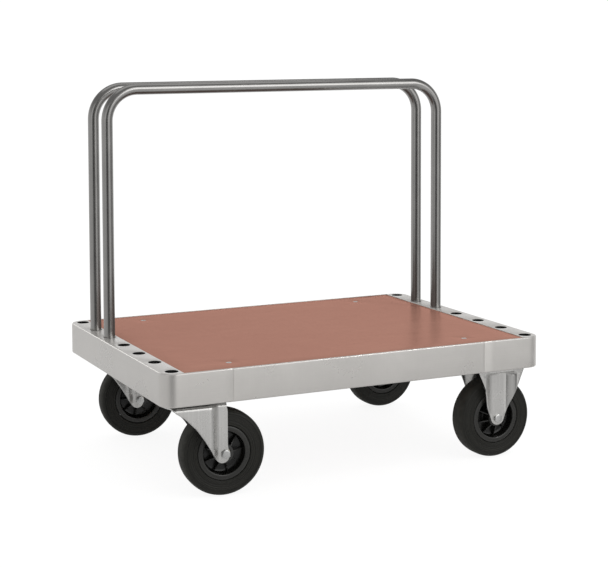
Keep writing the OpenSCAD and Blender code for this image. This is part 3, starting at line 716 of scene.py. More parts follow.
# =====================================================================
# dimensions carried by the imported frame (mm)
# =====================================================================
b0, b1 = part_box("end_beam_right")
PL, PW = b1.x / MM, b1.y / MM           # half length and half width of the platform
ZT, Z0 = b1.z / MM, b0.z / MM           # top and lower edge of the frame
bb0, bb1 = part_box("deck_board")
DX, DY, ZB, ZD = bb1.x / MM, bb1.y / MM, bb0.z / MM, bb1.z / MM
r0, r1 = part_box("side_rail_front")
RAIL = r1.x / MM
SEAM = b0.x / MM                        # end of an end beam's wrap
h0, h1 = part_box("hoop_front")
HOOP_R = 14.0
HOOP_Z = h1.z / MM
HOOP_BOT = h0.z / MM
HOOP_X = h1.x / MM - HOOP_R
HOOP_Y = {"front": (h0.y + h1.y) / 2 / MM, "rear": 0.0}
q0, q1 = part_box("hoop_rear")
HOOP_Y["rear"] = (q0.y + q1.y) / 2 / MM
c0, c1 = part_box("socket_cups_right")
SOCK_X = (c0.x + c1.x) / 2 / MM
SOCK_R = 15.0
CUP_R = (c1.x - c0.x) / 2 / MM
CUP_Z0 = c0.z / MM
SOCK_Y = [(c1.y / MM - CUP_R) - k * ((c1.y / MM - CUP_R) * 2) / 6 for k in range(7)]
# the socket mouths of the frame sheet are painted near-black as painted shade
M_FRAME = zinc("zinc_sheet_frame", (0.590, 0.572, 0.548), 0.30, 0.60, relief=0.05, grit=0.35, marks=0.12,
               painted_shade_mouths=(SOCK_X * MM, (SOCK_Y[0] - SOCK_Y[1]) * MM, (SOCK_R + 0.35) * MM, (ZT - 6.0) * MM))
ST = 3.0
CR = 35.0
FLANGE, LIP = 50.0, 30.0
BR = 3.4                                # outer fold radius of the sheet

# ---------------------------------------------------------------------
# end beams: a folded sheet that runs round both corners
# ---------------------------------------------------------------------


def end_beam_mesh():
    arc_c = (PL - CR, -(PW - CR))
    st = []                              # (x, y, nx, ny) outward normals, front seam to middle
    for x in (SEAM + 0.2, 360, 400, 430, PL - FLANGE, 458):
        st.append((x, -PW, 0.0, -1.0))
    lip_a = math.asin((PL - LIP - arc_c[0]) / (CR - BR))
    angs = sorted(set([0.0] + [PI / 2 * k / 20 for k in range(1, 21)] + [lip_a]))
    angs = [a for a in angs if a == lip_a or abs(a - lip_a) > 0.02]
    for a in angs:
        st.append((arc_c[0] + CR * math.sin(a), arc_c[1] - CR * math.cos(a), math.sin(a), -math.cos(a)))
    ys = [-300, -250, -200, -150, -100, -50, 0]
    for y in ys:
        st.append((PL, float(y), 1.0, 0.0))
    full = st + [(x, -y, nx, -ny) for x, y, nx, ny in st[-2::-1]]
    full = np.array(full)
    seg = 6
    rows = []                            # (inset, z, normal-out weight, normal-z weight)
    for k in range(seg + 1):
        q = PI / 2 * k / seg
        rows.append((BR * (1 - math.sin(q)), Z0 + BR * (1 - math.cos(q)), math.sin(q), -math.cos(q)))
    rows.append((0, (Z0 + ZT) / 2, 1, 0))
    for k in range(seg + 1):
        q = PI / 2 * k / seg
        rows.append((BR * (1 - math.cos(q)), ZT - BR * (1 - math.sin(q)), math.cos(q), math.sin(q)))
    n, m = len(full), len(rows)
    v = np.zeros((n, m, 3))
    nr = np.zeros((n, m, 3))
    for j, (ins, z, wo, wz) in enumerate(rows):
        v[:, j, 0] = full[:, 0] - full[:, 2] * ins
        v[:, j, 1] = full[:, 1] - full[:, 3] * ins
        v[:, j, 2] = z
        nr[:, j, 0] = full[:, 2] * wo
        nr[:, j, 1] = full[:, 3] * wo
        nr[:, j, 2] = wz
    strip = (v.reshape(-1, 3), nr.reshape(-1, 3), grid_faces(n, m))
    top, bot = v[:, -1, :2], v[:, 0, :2]
    x_fl, x_lip = PL - FLANGE + 0.25, PL - LIP + 0.25
    i0 = int(np.argmin(np.abs(full[:n // 2, 0] - x_fl) + (np.abs(full[:n // 2, 1] + PW) > 1) * 99))
    outer = [p for p in top[i0:n - i0]]
    outer[0] = np.array([x_fl, -PW + BR])
    outer[-1] = np.array([x_fl, PW - BR])
    inner_y = list(np.linspace(PW - BR, -PW + BR, 29))[1:-1]
    outer += [np.array([x_fl, y]) for y in inner_y]
    holes = [circle(SOCK_X, y, SOCK_R + 0.5, 64) for y in SOCK_Y]
    fl = flat_skin(outer, holes, ZT)
    jl = int(np.argmin(np.abs(bot[:n // 2, 0] - x_lip) + (full[:n // 2, 2] <= 0.001) * 99))
    lo = [p for p in bot[jl:n - jl]]
    lo += [np.array([lo[0][0], y]) for y in np.linspace(lo[-1][1], lo[0][1], 29)[1:-1]]
    lp = flat_skin(lo, [], Z0, -1)
    V, Nn, F = skin_weld([strip, fl, lp])
    return thicken(V, Nn, F, ST, 0.5, 3)


V, F = end_beam_mesh()
# faces of the strip may be wound either way; the piece's normals are made consistent afterwards
piece("end_beam_right_sheet", V, F, M_FRAME, "root", "zinc_frame", ["end_beam_right"])
Vm = V * np.array([-1, 1, 1])
piece("end_beam_left_sheet", Vm, [f[::-1] for f in F], M_FRAME, "root", "zinc_frame", ["end_beam_left"])


# ---------------------------------------------------------------------
# side rails
# ---------------------------------------------------------------------
def side_rail_mesh():
    """The wall runs the full length; its lower lip stops short of the casters."""
    xl = min(RAIL, 320.0)
    xs = np.unique(np.round(np.concatenate([np.linspace(-RAIL + 0.2, -xl, 4), np.linspace(-xl, xl, 25), np.linspace(xl, RAIL - 0.2, 4)]), 4))
    seg = 6
    prof = []                            # (y inset from the outer face, z, ny outward, nz)
    prof.append((30 - 0.0, Z0 + 12 - 0.4, -1, 0))
    for k in range(seg + 1):
        q = PI / 2 * k / seg
        prof.append((30 - BR * (1 - math.cos(q)), Z0 + BR * (1 - math.sin(q)), -math.cos(q), -math.sin(q)))
    lip = len(prof)                      # rows before this one belong to the lip
    for k in range(seg + 1):
        q = PI / 2 * k / seg
        prof.append((BR * (1 - math.sin(q)), Z0 + BR * (1 - math.cos(q)), math.sin(q), -math.cos(q)))
    prof.append((0, (Z0 + ZT) / 2, 1, 0))
    for k in range(seg + 1):
        q = PI / 2 * k / seg
        prof.append((BR * (1 - math.cos(q)), ZT - BR * (1 - math.sin(q)), math.cos(q), math.sin(q)))
    p = np.array(prof)
    n, m = len(xs), len(p)
    v = np.zeros((n, m, 3))
    nr = np.zeros((n, m, 3))
    v[:, :, 0] = xs[:, None]
    v[:, :, 1] = -PW + p[None, :, 0]
    v[:, :, 2] = p[None, :, 1]
    nr[:, :, 1] = -p[None, :, 2]
    nr[:, :, 2] = p[None, :, 3]
    faces = []
    for i in range(n - 1):
        mid = (xs[i] + xs[i + 1]) / 2
        for k in range(m - 1):
            if k >= lip or abs(mid) < xl:
                faces.append((i * m + k, (i + 1) * m + k, (i + 1) * m + k + 1, i * m + k + 1))
    return thicken(v.reshape(-1, 3), nr.reshape(-1, 3), faces, ST, 0.25, 2)


V, F = side_rail_mesh()
piece("side_rail_front_sheet", V, F, M_FRAME, "root", "zinc_frame", ["side_rail_front"])
piece("side_rail_rear_sheet", V * np.array([-1, -1, 1]), F, M_FRAME, "root", "zinc_frame", ["side_rail_rear"])


# ---------------------------------------------------------------------
# deck board with countersinks, and its screws
# ---------------------------------------------------------------------
s0, s1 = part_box("deck_screws")
SCX, SCY = s1.x / MM - 6.7, s1.y / MM - 6.7


def board_mesh():
    e = 0.9
    P = Parts()
    ns = 48
    o_top = rounded([(-DX + e, -DY + e), (DX - e, -DY + e), (DX - e, DY - e), (-DX + e, DY - e)], 0.8, 3)
    ctr = [(i * SCX, j * SCY) for i in (-1, 1) for j in (-1, 1)]
    R0, R1 = 7.3, 3.3
    pts = [(x, y) for x in np.linspace(-DX + 40, DX - 40, 14) for y in np.linspace(-DY + 40, DY - 40, 11)]
    vt, nt, ft = flat_skin(o_top, [circle(x, y, R0, ns) for x, y in ctr], ZD, 1, pts)
    vb, nb_, fb = flat_skin(o_top, [circle(x, y, R1, ns) for x, y in ctr], ZB, -1, pts)
    P.add(vt, ft, index=0)
    P.add(vb, fb, index=0)
    n = len(o_top)
    dirs = np.array([np.sign(p) for p in o_top], float)
    rows = []
    nrm = []
    for i in range(n):
        t = np.array(o_top[(i + 1) % n]) - np.array(o_top[i - 1])
        t /= np.linalg.norm(t)
        nrm.append([t[1], -t[0]])
    nrm = np.array(nrm)
    ot = np.array(o_top)
    for k in range(4):
        q = PI / 2 * k / 3
        rows.append(np.column_stack([ot + nrm * e * math.sin(q), np.full(n, ZD - e * (1 - math.cos(q)))]))
    for k in range(3, -1, -1):
        q = PI / 2 * k / 3
        rows.append(np.column_stack([ot + nrm * e * math.sin(q), np.full(n, ZB + e * (1 - math.cos(q)))]))
    P.add(np.concatenate(rows), grid_faces(len(rows), n, False, True), index=1)
    for x, y in ctr:
        prof = [(R0, ZD), (R0 - 0.25, ZD - 0.1), (R1, ZD - 4.0), (R1, ZB)]
        rr = [np.column_stack([np.array(circle(x, y, r, ns)), np.full(ns, z)]) for r, z in prof]
        P.add(np.concatenate(rr), grid_faces(len(rr), ns, False, True), index=1)
    return P


board_mesh().piece("deck_board_film", [M_BOARD, M_PLY], "root", slot="board", nodes=["deck_board"])


def screw_mesh(P, x, y, z, turn):
    """Countersunk machine screw with a cross recess."""
    R = 6.6
    w, L, c = 0.75, 3.1, 0.9
    cross = [(L, -w), (L, w), (c, c), (w, L), (-w, L), (-c, c), (-L, w), (-L, -w), (-c, -c), (-w, -L), (w, -L), (c, -c)]
    cross = [np.array(p) for p in rounded(cross, 0.18, 2)]
    outer = circle(0, 0, R - 0.35, 48)
    v, n, f = flat_skin(outer, [cross], 0.0)
    Q = Parts()
    Q.add(v, f)
    k = len(cross)
    cr = np.array(cross)
    r = [np.column_stack([cr, np.zeros(k)]), np.column_stack([cr * 0.86, np.full(k, -1.1)]), np.column_stack([cr * 0.45, np.full(k, -2.2)])]
    Q.add(np.concatenate(r), grid_faces(3, k, False, True))
    Q.add(np.vstack([r[-1], [[0, 0, -2.5]]]), [(i, (i + 1) % k, k) for i in range(k)])
    prof = [(R - 0.35, 0.0), (R, -0.12), (R, -0.35), (3.0, -3.75), (3.0, -20), (2.4, -20.6), (0, -20.6)]
    lv, lf = lathe(prof, 48, closed=False)
    Q.add(lv, lf)
    P.add(np.concatenate(Q.v), Q.f, T(x, y, z) @ RZ(turn))


P = Parts()
for i, (x, y) in enumerate([(a * SCX, b * SCY) for a in (-1, 1) for b in (-1, 1)]):
    screw_mesh(P, x, y, ZD - 0.05, 0.35 + 1.1 * i)
P.piece("deck_screws_set", M_BOLT, "root", slot="bright_steel", nodes=["deck_screws"])

# ---------------------------------------------------------------------
# socket cups, coloured near-black as painted shade
# ---------------------------------------------------------------------
for side, sx in (("left", -1), ("right", 1)):
    P = Parts()
    for y in SOCK_Y:
        zt = ZT - ST
        prof = rounded([(CUP_R, CUP_Z0), (CUP_R, zt - 0.02), (SOCK_R + 0.02, zt - 0.02), (SOCK_R + 0.02, CUP_Z0 + 3.0), (0, CUP_Z0 + 3.0)], [1.6, 0.3, 0.3, 2.0, 0], 4, closed=False)
        prof = [np.array((0.0, CUP_Z0))] + list(prof)
        prof[1] = np.array((CUP_R - 1.5, CUP_Z0))
        prof.insert(2, np.array((CUP_R, CUP_Z0 + 1.5)))
        lv, lf = lathe(prof, 56, closed=False)
        P.add(lv, lf, T(sx * SOCK_X, y, 0))
    P.piece("socket_cups_" + side + "_drawn", M_CUP_PAINTED_SHADE, "root", slot="zinc_frame", nodes=["socket_cups_" + side])


# ---------------------------------------------------------------------
# hoops: smooth bent tube; the end plugs stay as CAD parts further down
# ---------------------------------------------------------------------
def hoop_mesh():
    R = 78.0
    zt = HOOP_Z - HOOP_R
    xl = HOOP_X
    path = []
    for z in np.linspace(HOOP_BOT, zt - R, 26):
        path.append(((-xl, z), (0, 1)))
    for k in range(1, 33):
        a = PI / 2 * k / 32
        path.append(((-xl + R * (1 - math.cos(a)), zt - R + R * math.sin(a)), (math.sin(a), math.cos(a))))
    for x in np.linspace(-xl + R, xl - R, 30)[1:]:
        path.append(((x, zt), (1, 0)))
    for k in range(1, 33):
        a = PI / 2 * k / 32
        path.append(((xl - R + R * math.sin(a), zt - R + R * math.cos(a)), (math.cos(a), -math.sin(a))))
    for z in np.linspace(zt - R, HOOP_BOT, 26)[1:]:
        path.append(((xl, z), (0, -1)))
    n = len(path)
    c = 56
    ro, ri = HOOP_R, HOOP_R - 2
    ln = np.concatenate([[0], np.cumsum([math.hypot(path[i][0][0] - path[i - 1][0][0], path[i][0][1] - path[i - 1][0][1]) for i in range(1, n)])])
    ang = np.arange(c) * 2 * PI / c

    def ring(r, i, shift=0.0, ins=0.0):
        (x, z), (tx, tz) = path[i]
        x, z = x + tx * shift, z + tz * shift
        return np.column_stack([x - tz * r * np.cos(ang), r * np.sin(ang), z + tx * r * np.cos(ang)])

    rows, uvs = [], []

    def add(r, i, shift=0.0):
        rows.append(ring(r, i, shift))
        uvs.append(np.column_stack([ang / (2 * PI), np.full(c, (ln[i] + shift) * MM)]))

    add(ro - 0.6, 0)
    add(ro - 0.18, 0, 0.18)
    add(ro, 0, 0.6)
    for i in range(1, n - 1):
        add(ro, i)
    add(ro, n - 1, -0.6)
    add(ro - 0.18, n - 1, -0.18)
    add(ro - 0.6, n - 1)
    add(ri, n - 1)
    for i in range(n - 1, -1, -1):
        add(ri, i)
    m = len(rows)
    return np.concatenate(rows), grid_faces(m, c, True, True), np.concatenate(uvs)


V, F, UV = hoop_mesh()
for which in ("front", "rear"):
    piece("hoop_" + which + "_tube", V + np.array([0, HOOP_Y[which], 0]), F, M_TUBE, "hoop_" + which, "hoop_steel", ["hoop_" + which], uv=UV)

# ---------------------------------------------------------------------
# casters
# ---------------------------------------------------------------------
CAST = {}
for which in ("front", "rear"):
    sw, wh = JOINTS["swivel_" + which], JOINTS["wheel_left_" + which]
    ax = wh["axis"]
    turn = math.atan2(-ax[0], ax[1])
    px, py = sw["pos_m"][0] / MM, sw["pos_m"][1] / MM
    CAST["left_" + which] = T(px, py, 0) @ RZ(turn)
    wx, wy = wh["pos_m"][0] / MM, wh["pos_m"][1] / MM
    TRAIL = math.hypot(wx - px, wy - py)
    fx = JOINTS["wheel_right_" + which]["pos_m"]
    CAST["right_" + which] = T(fx[0] / MM, fx[1] / MM, 0)
HW = JOINTS["wheel_left_front"]["pos_m"][2] / MM
FO, FT = 33.6, 52.0
FORK_T = 3.5
CH = 235.0
CROWN = 219.0
BX = 50.0                                # half spacing of the mounting bolts along X


def surf(uvp, fn, t, faces, e=0.5, seg=2):
    """Maps a flat blank onto a pressed shape and gives it its thickness."""
    d = 0.02
    p = fn(uvp[:, 0], uvp[:, 1])
    a = fn(uvp[:, 0] + d, uvp[:, 1]) - fn(uvp[:, 0] - d, uvp[:, 1])
    b = fn(uvp[:, 0], uvp[:, 1] + d) - fn(uvp[:, 0], uvp[:, 1] - d)
    n = np.cross(a, b)
    n /= np.maximum(np.linalg.norm(n, axis=1)[:, None], 1e-12)
    return thicken(p, n, faces, t, e, seg)


def fixed_fork_mesh():
    R = 6.0
    A = FT - R
    L = A + R * PI / 2

    def fn(x, t):
        s = np.where(t < 0, -1.0, 1.0)
        q = np.abs(t)
        ph = np.clip((q - A) / R, 0, PI / 2)
        z = CH - R * (1 - np.cos(ph)) - np.maximum(q - L, 0)
        u = np.minimum(q, A) + R * np.sin(ph)
        U = FO + (FT - FO) * sstep((np.abs(x) - 22) / 24)
        w = sstep((219.0 - z) / 7.0)
        u = u - (FT - U) * w * (q > A)
        return np.column_stack([x, s * u, z])

    def tz(z):
        return L + (CH - R - z)

    half = [(67.1, 0.0), (67.1, tz(229.5)), (61.6, tz(217)), (43.9, tz(175))]
    # round end, tangent to the tapering sides
    sl = math.atan(0.335)
    Rr = 18.55
    cz = HW + 2.5
    arc = []
    start = -sl
    for k in range(0, 29):
        q = start - (PI - 2 * sl) * k / 28
        arc.append((Rr * math.cos(q), tz(cz + Rr * math.sin(q))))
    right = rounded(half + [arc[0]], [0, 6, 14, 60, 0], 8, closed=False)
    right = [tuple(p) for p in right[:-1]]
    leftm = [(-x, t) for x, t in right[::-1]]
    one = right + arc + leftm             # from (67,0) round the leg to (-67,0)
    other = [(-x, -t) for x, t in one]
    loop = one[:-1] + other[:-1]
    loop = [np.array(p) for p in loop]
    # resample long edges
    fine = []
    for i in range(len(loop)):
        p, q = loop[i], loop[(i + 1) % len(loop)]
        k = max(1, int(np.linalg.norm(q - p) / 4))
        fine += [p + (q - p) * j / k for j in range(k)]
    holes = [circle(i * BX, j * 37.5, 5.5 + 0.4, 32) for i in (-1, 1) for j in (-1, 1)]
    holes += [circle(0, s * tz(HW), 6.1 + 0.4, 32) for s in (-1, 1)]
    lines = []
    for s in (-1, 1):
        for t in np.linspace(A, L, 6):
            lines.append([(-69.0, s * t), (69.0, s * t)])
        for x in (-46, -22, 22, 46):
            lines.append([(x, s * tz(219)), (x, s * tz(80))])
        for z in np.linspace(219, 212, 5):
            lines.append([(-69.0, s * tz(z)), (69.0, s * tz(z))])
    pts = []
    for s in (-1, 1):
        for x in list(range(-64, -46, 4)) + list(np.arange(-46, -21.9, 2.0)) + [-16, -11, -5.5, 0, 5.5, 11, 16] + list(np.arange(22, 46.1, 2.0)) + list(range(50, 66, 4)):
            for z in list(np.arange(84, 212, 4.0)) + [213.75, 215.5, 217.25, 219, 224, 229]:
                pts.append((x, s * tz(z)))
            for t in np.linspace(A, L, 6):
                pts.append((x, s * t))
    uvp, tri = blank(fine, holes, lines, pts)
    return surf(uvp, fn, FORK_T, tri)


V, F = fixed_fork_mesh()
for which in ("front", "rear"):
    m = CAST["right_" + which]
    P = Parts().add(V, F, m)
    P.piece("fixed_fork_" + which + "_pressing", M_FORK, "root", slot="zinc_fork", nodes=["fixed_fork_" + which])


def swivel_fork_mesh():
    """Local frame: the swivel axis is at the origin, the axle at x = TRAIL."""
    R = 10.0
    A = FT - R
    L = A + R * PI / 2
    top = CROWN

    def fn(xa, t):
        s = np.where(t < 0, -1.0, 1.0)
        q = np.abs(t)
        U = FO + (FT - FO) * sstep((-xa - 16) / 24)
        a = U - R
        ph = np.clip((q - A) / R, 0, PI / 2)
        u = np.minimum(q, A) * a / A + R * np.sin(ph)
        z = top - R * (1 - np.cos(ph)) - np.maximum(q - L, 0)
        return np.column_stack([xa + TRAIL, s * u, z])

    def tz(z):
        return L + (top - R - z)

    r_cr = 88.0
    lead = [(-TRAIL - math.sqrt(r_cr ** 2 - u * u), float(u)) for u in np.linspace(0, A, 12)]
    x_flat = lead[-1][0]
    for k in range(1, 6):
        ph = PI / 2 * k / 5
        zz = top - R * (1 - math.cos(ph))
        w = (top - zz) / R
        lead.append((x_flat * (1 - w) + -122.8 * w, A + R * ph))
    low = [(-121.0, 207.0), (-102.9, 195.3), (-93.4, 186.4), (-73.6, 166.3), (-55.0, 140.1), (-42.5, 119.6), (-20.6, 87.2)]
    low = rounded(low, [0, 25, 40, 60, 80, 60, 0], 4, closed=False)
    lead += [(float(p[0]), tz(float(p[1]))) for p in low]
    Rr = 15.7
    cx, cz = -7.2, 95.8
    arc = []
    a_start = math.atan2(87.2 - cz, -20.6 - cx) + 2 * PI
    a_end = 2 * PI + 0.10
    for k in range(1, 25):
        q = a_start + (a_end - a_start) * k / 24
        arc.append((cx + Rr * math.cos(q), tz(cz + Rr * math.sin(q))))
    trail = [arc[-1]] + [(float(p[0]), float(p[1])) for p in rounded([arc[-1], (5.0, tz(120)), (5.0, tz(200)), (3.0, tz(208)), (3.0, 0.0)], [0, 30, 10, 10, 0], 5, closed=False)[1:]]
    one = lead + arc + trail[1:]
    one = [np.array(p, float) for p in one]
    other = [np.array((p[0], -p[1])) for p in one[::-1]][1:-1]
    loop = one + other
    fine = []
    for i in range(len(loop)):
        p, q = loop[i], loop[(i + 1) % len(loop)]
        k = max(1, int(np.linalg.norm(q - p) / 4))
        fine += [p + (q - p) * j / k for j in range(k)]
    holes = [circle(-TRAIL, 0, 6.4, 32)] + [circle(0, s * tz(HW), 6.5, 32) for s in (-1, 1)]
    lines = []
    for s in (-1, 1):
        for t in np.linspace(A, L, 9):
            lines.append([(-150.0, s * t), (20.0, s * t)])
        for x in (-40, -16):
            lines.append([(x, s * A), (x, s * tz(75))])
    lines += [[(x, -A), (x, A)] for x in (-40, -16)]
    pts = []
    xs = list(range(-140, -40, 5)) + list(np.arange(-40, -15.9, 2.0)) + [-11, -5, 0, 5]
    for s in (-1, 1):
        for x in xs:
            for z in np.arange(82, 209, 4.0):
                pts.append((x, s * tz(z)))
            for t in np.linspace(A, L, 9):
                pts.append((x, s * t))
            for t in np.arange(6, A, 6.0):
                pts.append((x, s * t))
    for x in xs:
        pts.append((x, 0.0))
    uvp, tri = blank(fine, holes, lines, pts)
    return surf(uvp, fn, FORK_T, tri)


V, F = swivel_fork_mesh()
for which in ("front", "rear"):
    Parts().add(V, F, CAST["left_" + which]).piece("swivel_fork_" + which + "_pressing", M_FORK, "swivel_" + which, slot="zinc_fork", nodes=["swivel_fork_" + which])

# swivel head: top plate with its pressed race, seal ring and lower cup
PLX, PLY = 67.5, 55.0


def swivel_plate_mesh():
    out = rounded([(-PLX + .6, -PLY + .6), (PLX - .6, -PLY + .6), (PLX - .6, PLY - .6), (-PLX + .6, PLY - .6)], 9, 6)
    holes = []
    for i in (-1, 1):
        for j in (-1, 1):
            holes.append(circle(i * BX, j * 37.5, 5.5 + .6, 32))
    holes.append(circle(0, 0, 36.0, 72))
    v, f = plate(out, holes, CH - 0.02, 4.0, 0.6)
    P = Parts().add(v, f)
    up_z = CROWN + 2.2
    race = rounded([(37.4, CH - 0.3), (37.4, up_z + 2.4), (34.6, up_z + 0.9), (26.0, up_z + 3.4), (12, up_z + 3.4), (6.1, up_z + 3.4), (6.1, CH - 0.3)], [0.4, 1.2, 1.0, 1.0, 0, 0.3, 0.3], 4)
    v, f = lathe(race, 96)
    P.add(v, f)
    return P


PLATE = swivel_plate_mesh()
for which, s in (("front", -1), ("rear", 1)):
    m = T(JOINTS["swivel_" + which]["pos_m"][0] / MM, JOINTS["swivel_" + which]["pos_m"][1] / MM, 0)
    Parts().add(np.concatenate(PLATE.v), PLATE.f, m).piece("swivel_plate_" + which + "_pressed", M_FORK, "root", slot="zinc_fork", nodes=["swivel_plate_" + which])
    v, f = lathe(rounded([(38.0, CROWN + 0.02), (41.2, CROWN + 0.02), (41.2, CROWN + 1.4), (40.2, CROWN + 2.4), (40.2, CROWN + 7.2), (39.4, CROWN + 8.0), (38.0, CROWN + 8.0)], 0.35, 3), 96)
    Parts().add(v, f, m).piece("seal_ring_" + which + "_moulded", M_SEAL, "swivel_" + which, slot="seal_plastic", nodes=["seal_ring_" + which])
cup0, cup1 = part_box("bearing_cups")
CUPZ = cup0.z / MM
P = Parts()
for which in ("front", "rear"):
    pos = JOINTS["swivel_" + which]["pos_m"]
    v, f = lathe(rounded([(6.1, CUPZ), (14, CUPZ), (21.5, CUPZ + 1.6), (22.8, CUPZ + 3.2), (22.8, CUPZ + 5.9), (20.6, CUPZ + 5.9), (19.0, CUPZ + 3.9), (16.5, CUPZ + 3.9), (14.5, CUPZ + 5.9), (6.1, CUPZ + 5.9)], 0.4, 3), 96)
    P.add(v, f, T(pos[0] / MM, pos[1] / MM, 0))
P.piece("bearing_cups_pressed", M_FORK, "root", slot="zinc_fork", nodes=["bearing_cups"])

# kingpins with hexagon heads and lock nuts
P, Q = Parts(), Parts()
for which in ("front", "rear"):
    pos = JOINTS["swivel_" + which]["pos_m"]
    m = T(pos[0] / MM, pos[1] / MM, 0)
    v, f = hexhead(18, 6, CH, dome=0.2)
    P.add(v, f, m)
    v, f = lathe([(0, CUPZ + 1), (5.95, CUPZ + 1), (5.95, CH + 0.5), (0, CH + 0.5)], 40, closed=False)
    P.add(v, f, m)
    v, f = thread(6.0, -CUPZ - 1.5, -CUPZ + 10.0, 1.75, 0.9)
    P.add(v, f, m @ RX(PI))
    v, f = hexhead(18, 8, -CUPZ, bore=6.02)
    Q.add(v, f, m @ RX(PI))
P.piece("kingpins_forged", M_BOLT, "root", slot="bright_steel", nodes=["kingpins"])
Q.piece("kingpin_lock_nuts", M_BOLT, "root", slot="bright_steel", nodes=["kingpin_nuts"])

# mounting bolts and nuts of all four casters
P, Q = Parts(), Parts()
n_ = 0
for sx in (-1, 1):
    for sy in (-1, 1):
        for i in (-1, 1):
            for j in (-1, 1):
                n_ += 1
                m = T(sx * 393 + i * BX, sy * 284 + j * 37.5, 0)
                under = CH - (4.0 if sx < 0 else FORK_T)
                m2 = m @ RZ(0.7 * n_)
                v, f = hexhead(16, 6.4, -under, dome=0.15)
                P.add(v, f, m2 @ RX(PI))
                v, f = lathe([(0, under - 0.6), (4.95, under - 0.6), (4.95, CH + 8), (0, CH + 8)], 32, closed=False)
                P.add(v, f, m2)
                v, f = thread(5.0, CH + 7.5, CH + ST + 11, 1.5, 0.75, 32)
                P.add(v, f, m2)
                v, f = hexhead(16, 9, CH + ST, bore=5.02, washer=(9.4, 1.6))
                Q.add(v, f, m2)
P.piece("caster_bolts_forged", M_BOLT, "root", slot="bright_steel", nodes=["caster_bolts"])
Q.piece("caster_flange_nuts", M_BOLT, "root", slot="bright_steel", nodes=["caster_nuts"])

# axle bolts and nuts; drawn along -Y with the head at the outside
AX = RX(PI / 2)                           # Z of the fastener points to -Y


def axle_parts():
    B, N_ = Parts(), Parts()
    v, f = hexhead(19, 5.0, FO, washer=(10.4, 0.8), dome=0.25)
    B.add(v, f, AX)
    v, f = lathe([(0, -FO - 4), (5.95, -FO - 4), (5.95, FO + 0.4), (0, FO + 0.4)], 48, closed=False)
    B.add(v, f, AX)
    v, f = thread(6.0, FO + 3.0, FO + 14, 1.75, 0.9)
    B.add(v, f, AX @ RX(PI))
    v, f = hexhead(19, 9.0, FO, bore=6.02, washer=(12.0, 1.5), cham=30)
    N_.add(v, f, AX @ RX(PI))
    prof = rounded([(6.05, FO + 8.2), (8.4, FO + 8.2), (8.4, FO + 10.4), (7.6, FO + 11.0), (6.05, FO + 11.0)], 0.3, 3)
    v, f = lathe(prof, 48)
    N_.add(v, f, AX @ RX(PI))
    return B, N_


B_, N_ = axle_parts()
vb, vn = np.concatenate(B_.v), np.concatenate(N_.v)
for which in ("front", "rear"):
    m = CAST["left_" + which] @ T(TRAIL, 0, HW) @ np.diag([1, 1, 1, 1.0])
    spin = np.eye(4)
    Parts().add(vb, B_.f, m).piece("swivel_axle_bolt_" + which + "_forged", M_BOLT, "swivel_" + which, slot="bright_steel", nodes=["swivel_axle_bolt_" + which])
    Parts().add(vn, N_.f, m).piece("swivel_axle_nut_" + which + "_locking", M_BOLT, "swivel_" + which, slot="bright_steel", nodes=["swivel_axle_nut_" + which])
P, Q = Parts(), Parts()
for which, s in (("front", -1), ("rear", 1)):
    m = CAST["right_" + which] @ T(0, 0, HW)
    if s > 0:
        m = m @ RZ(PI)
    P.add(vb, B_.f, m)
    Q.add(vn, N_.f, m)
P.piece("fixed_axle_bolts_forged", M_BOLT, "root", slot="bright_steel", nodes=["fixed_axle_bolts"])
Q.piece("fixed_axle_nuts_locking", M_BOLT, "root", slot="bright_steel", nodes=["fixed_axle_nuts"])


# ---------------------------------------------------------------------
# wheels, made about their own centre with the axle along Z
# ---------------------------------------------------------------------
def tyre_mesh():
    h = 25.0
    half = [  # (radius, height) from the crown's middle to the bead, on one side
        (100.0, 0.0), (99.95, 5.0), (99.8, 10.0), (99.35, 14.5), (98.6, 17.4), (97.4, 20.0), (95.7, 22.2), (93.6, 23.8),
        (91.2, 24.75), (89.6, 25.0), (88.9, 25.0), (88.3, 24.35), (87.5, 24.35), (86.9, 25.0), (84.6, 25.0), (84.0, 24.5), (83.3, 24.5), (82.7, 24.95),
        (80.2, 24.85), (79.6, 24.3), (78.9, 24.3), (78.3, 24.75), (75.4, 24.6), (74.8, 24.15), (74.1, 24.15), (73.5, 24.6),
        (70.6, 24.9), (69.7, 24.95), (69.0, 24.2), (68.2, 24.2), (67.6, 24.95), (65.6, 25.0), (64.6, 24.6), (63.7, 23.4), (63.2, 22.2), (63.2, 12.0)]
    other = [(r, -z) for r, z in half[:0:-1]]
    return lathe(half + other, 200)


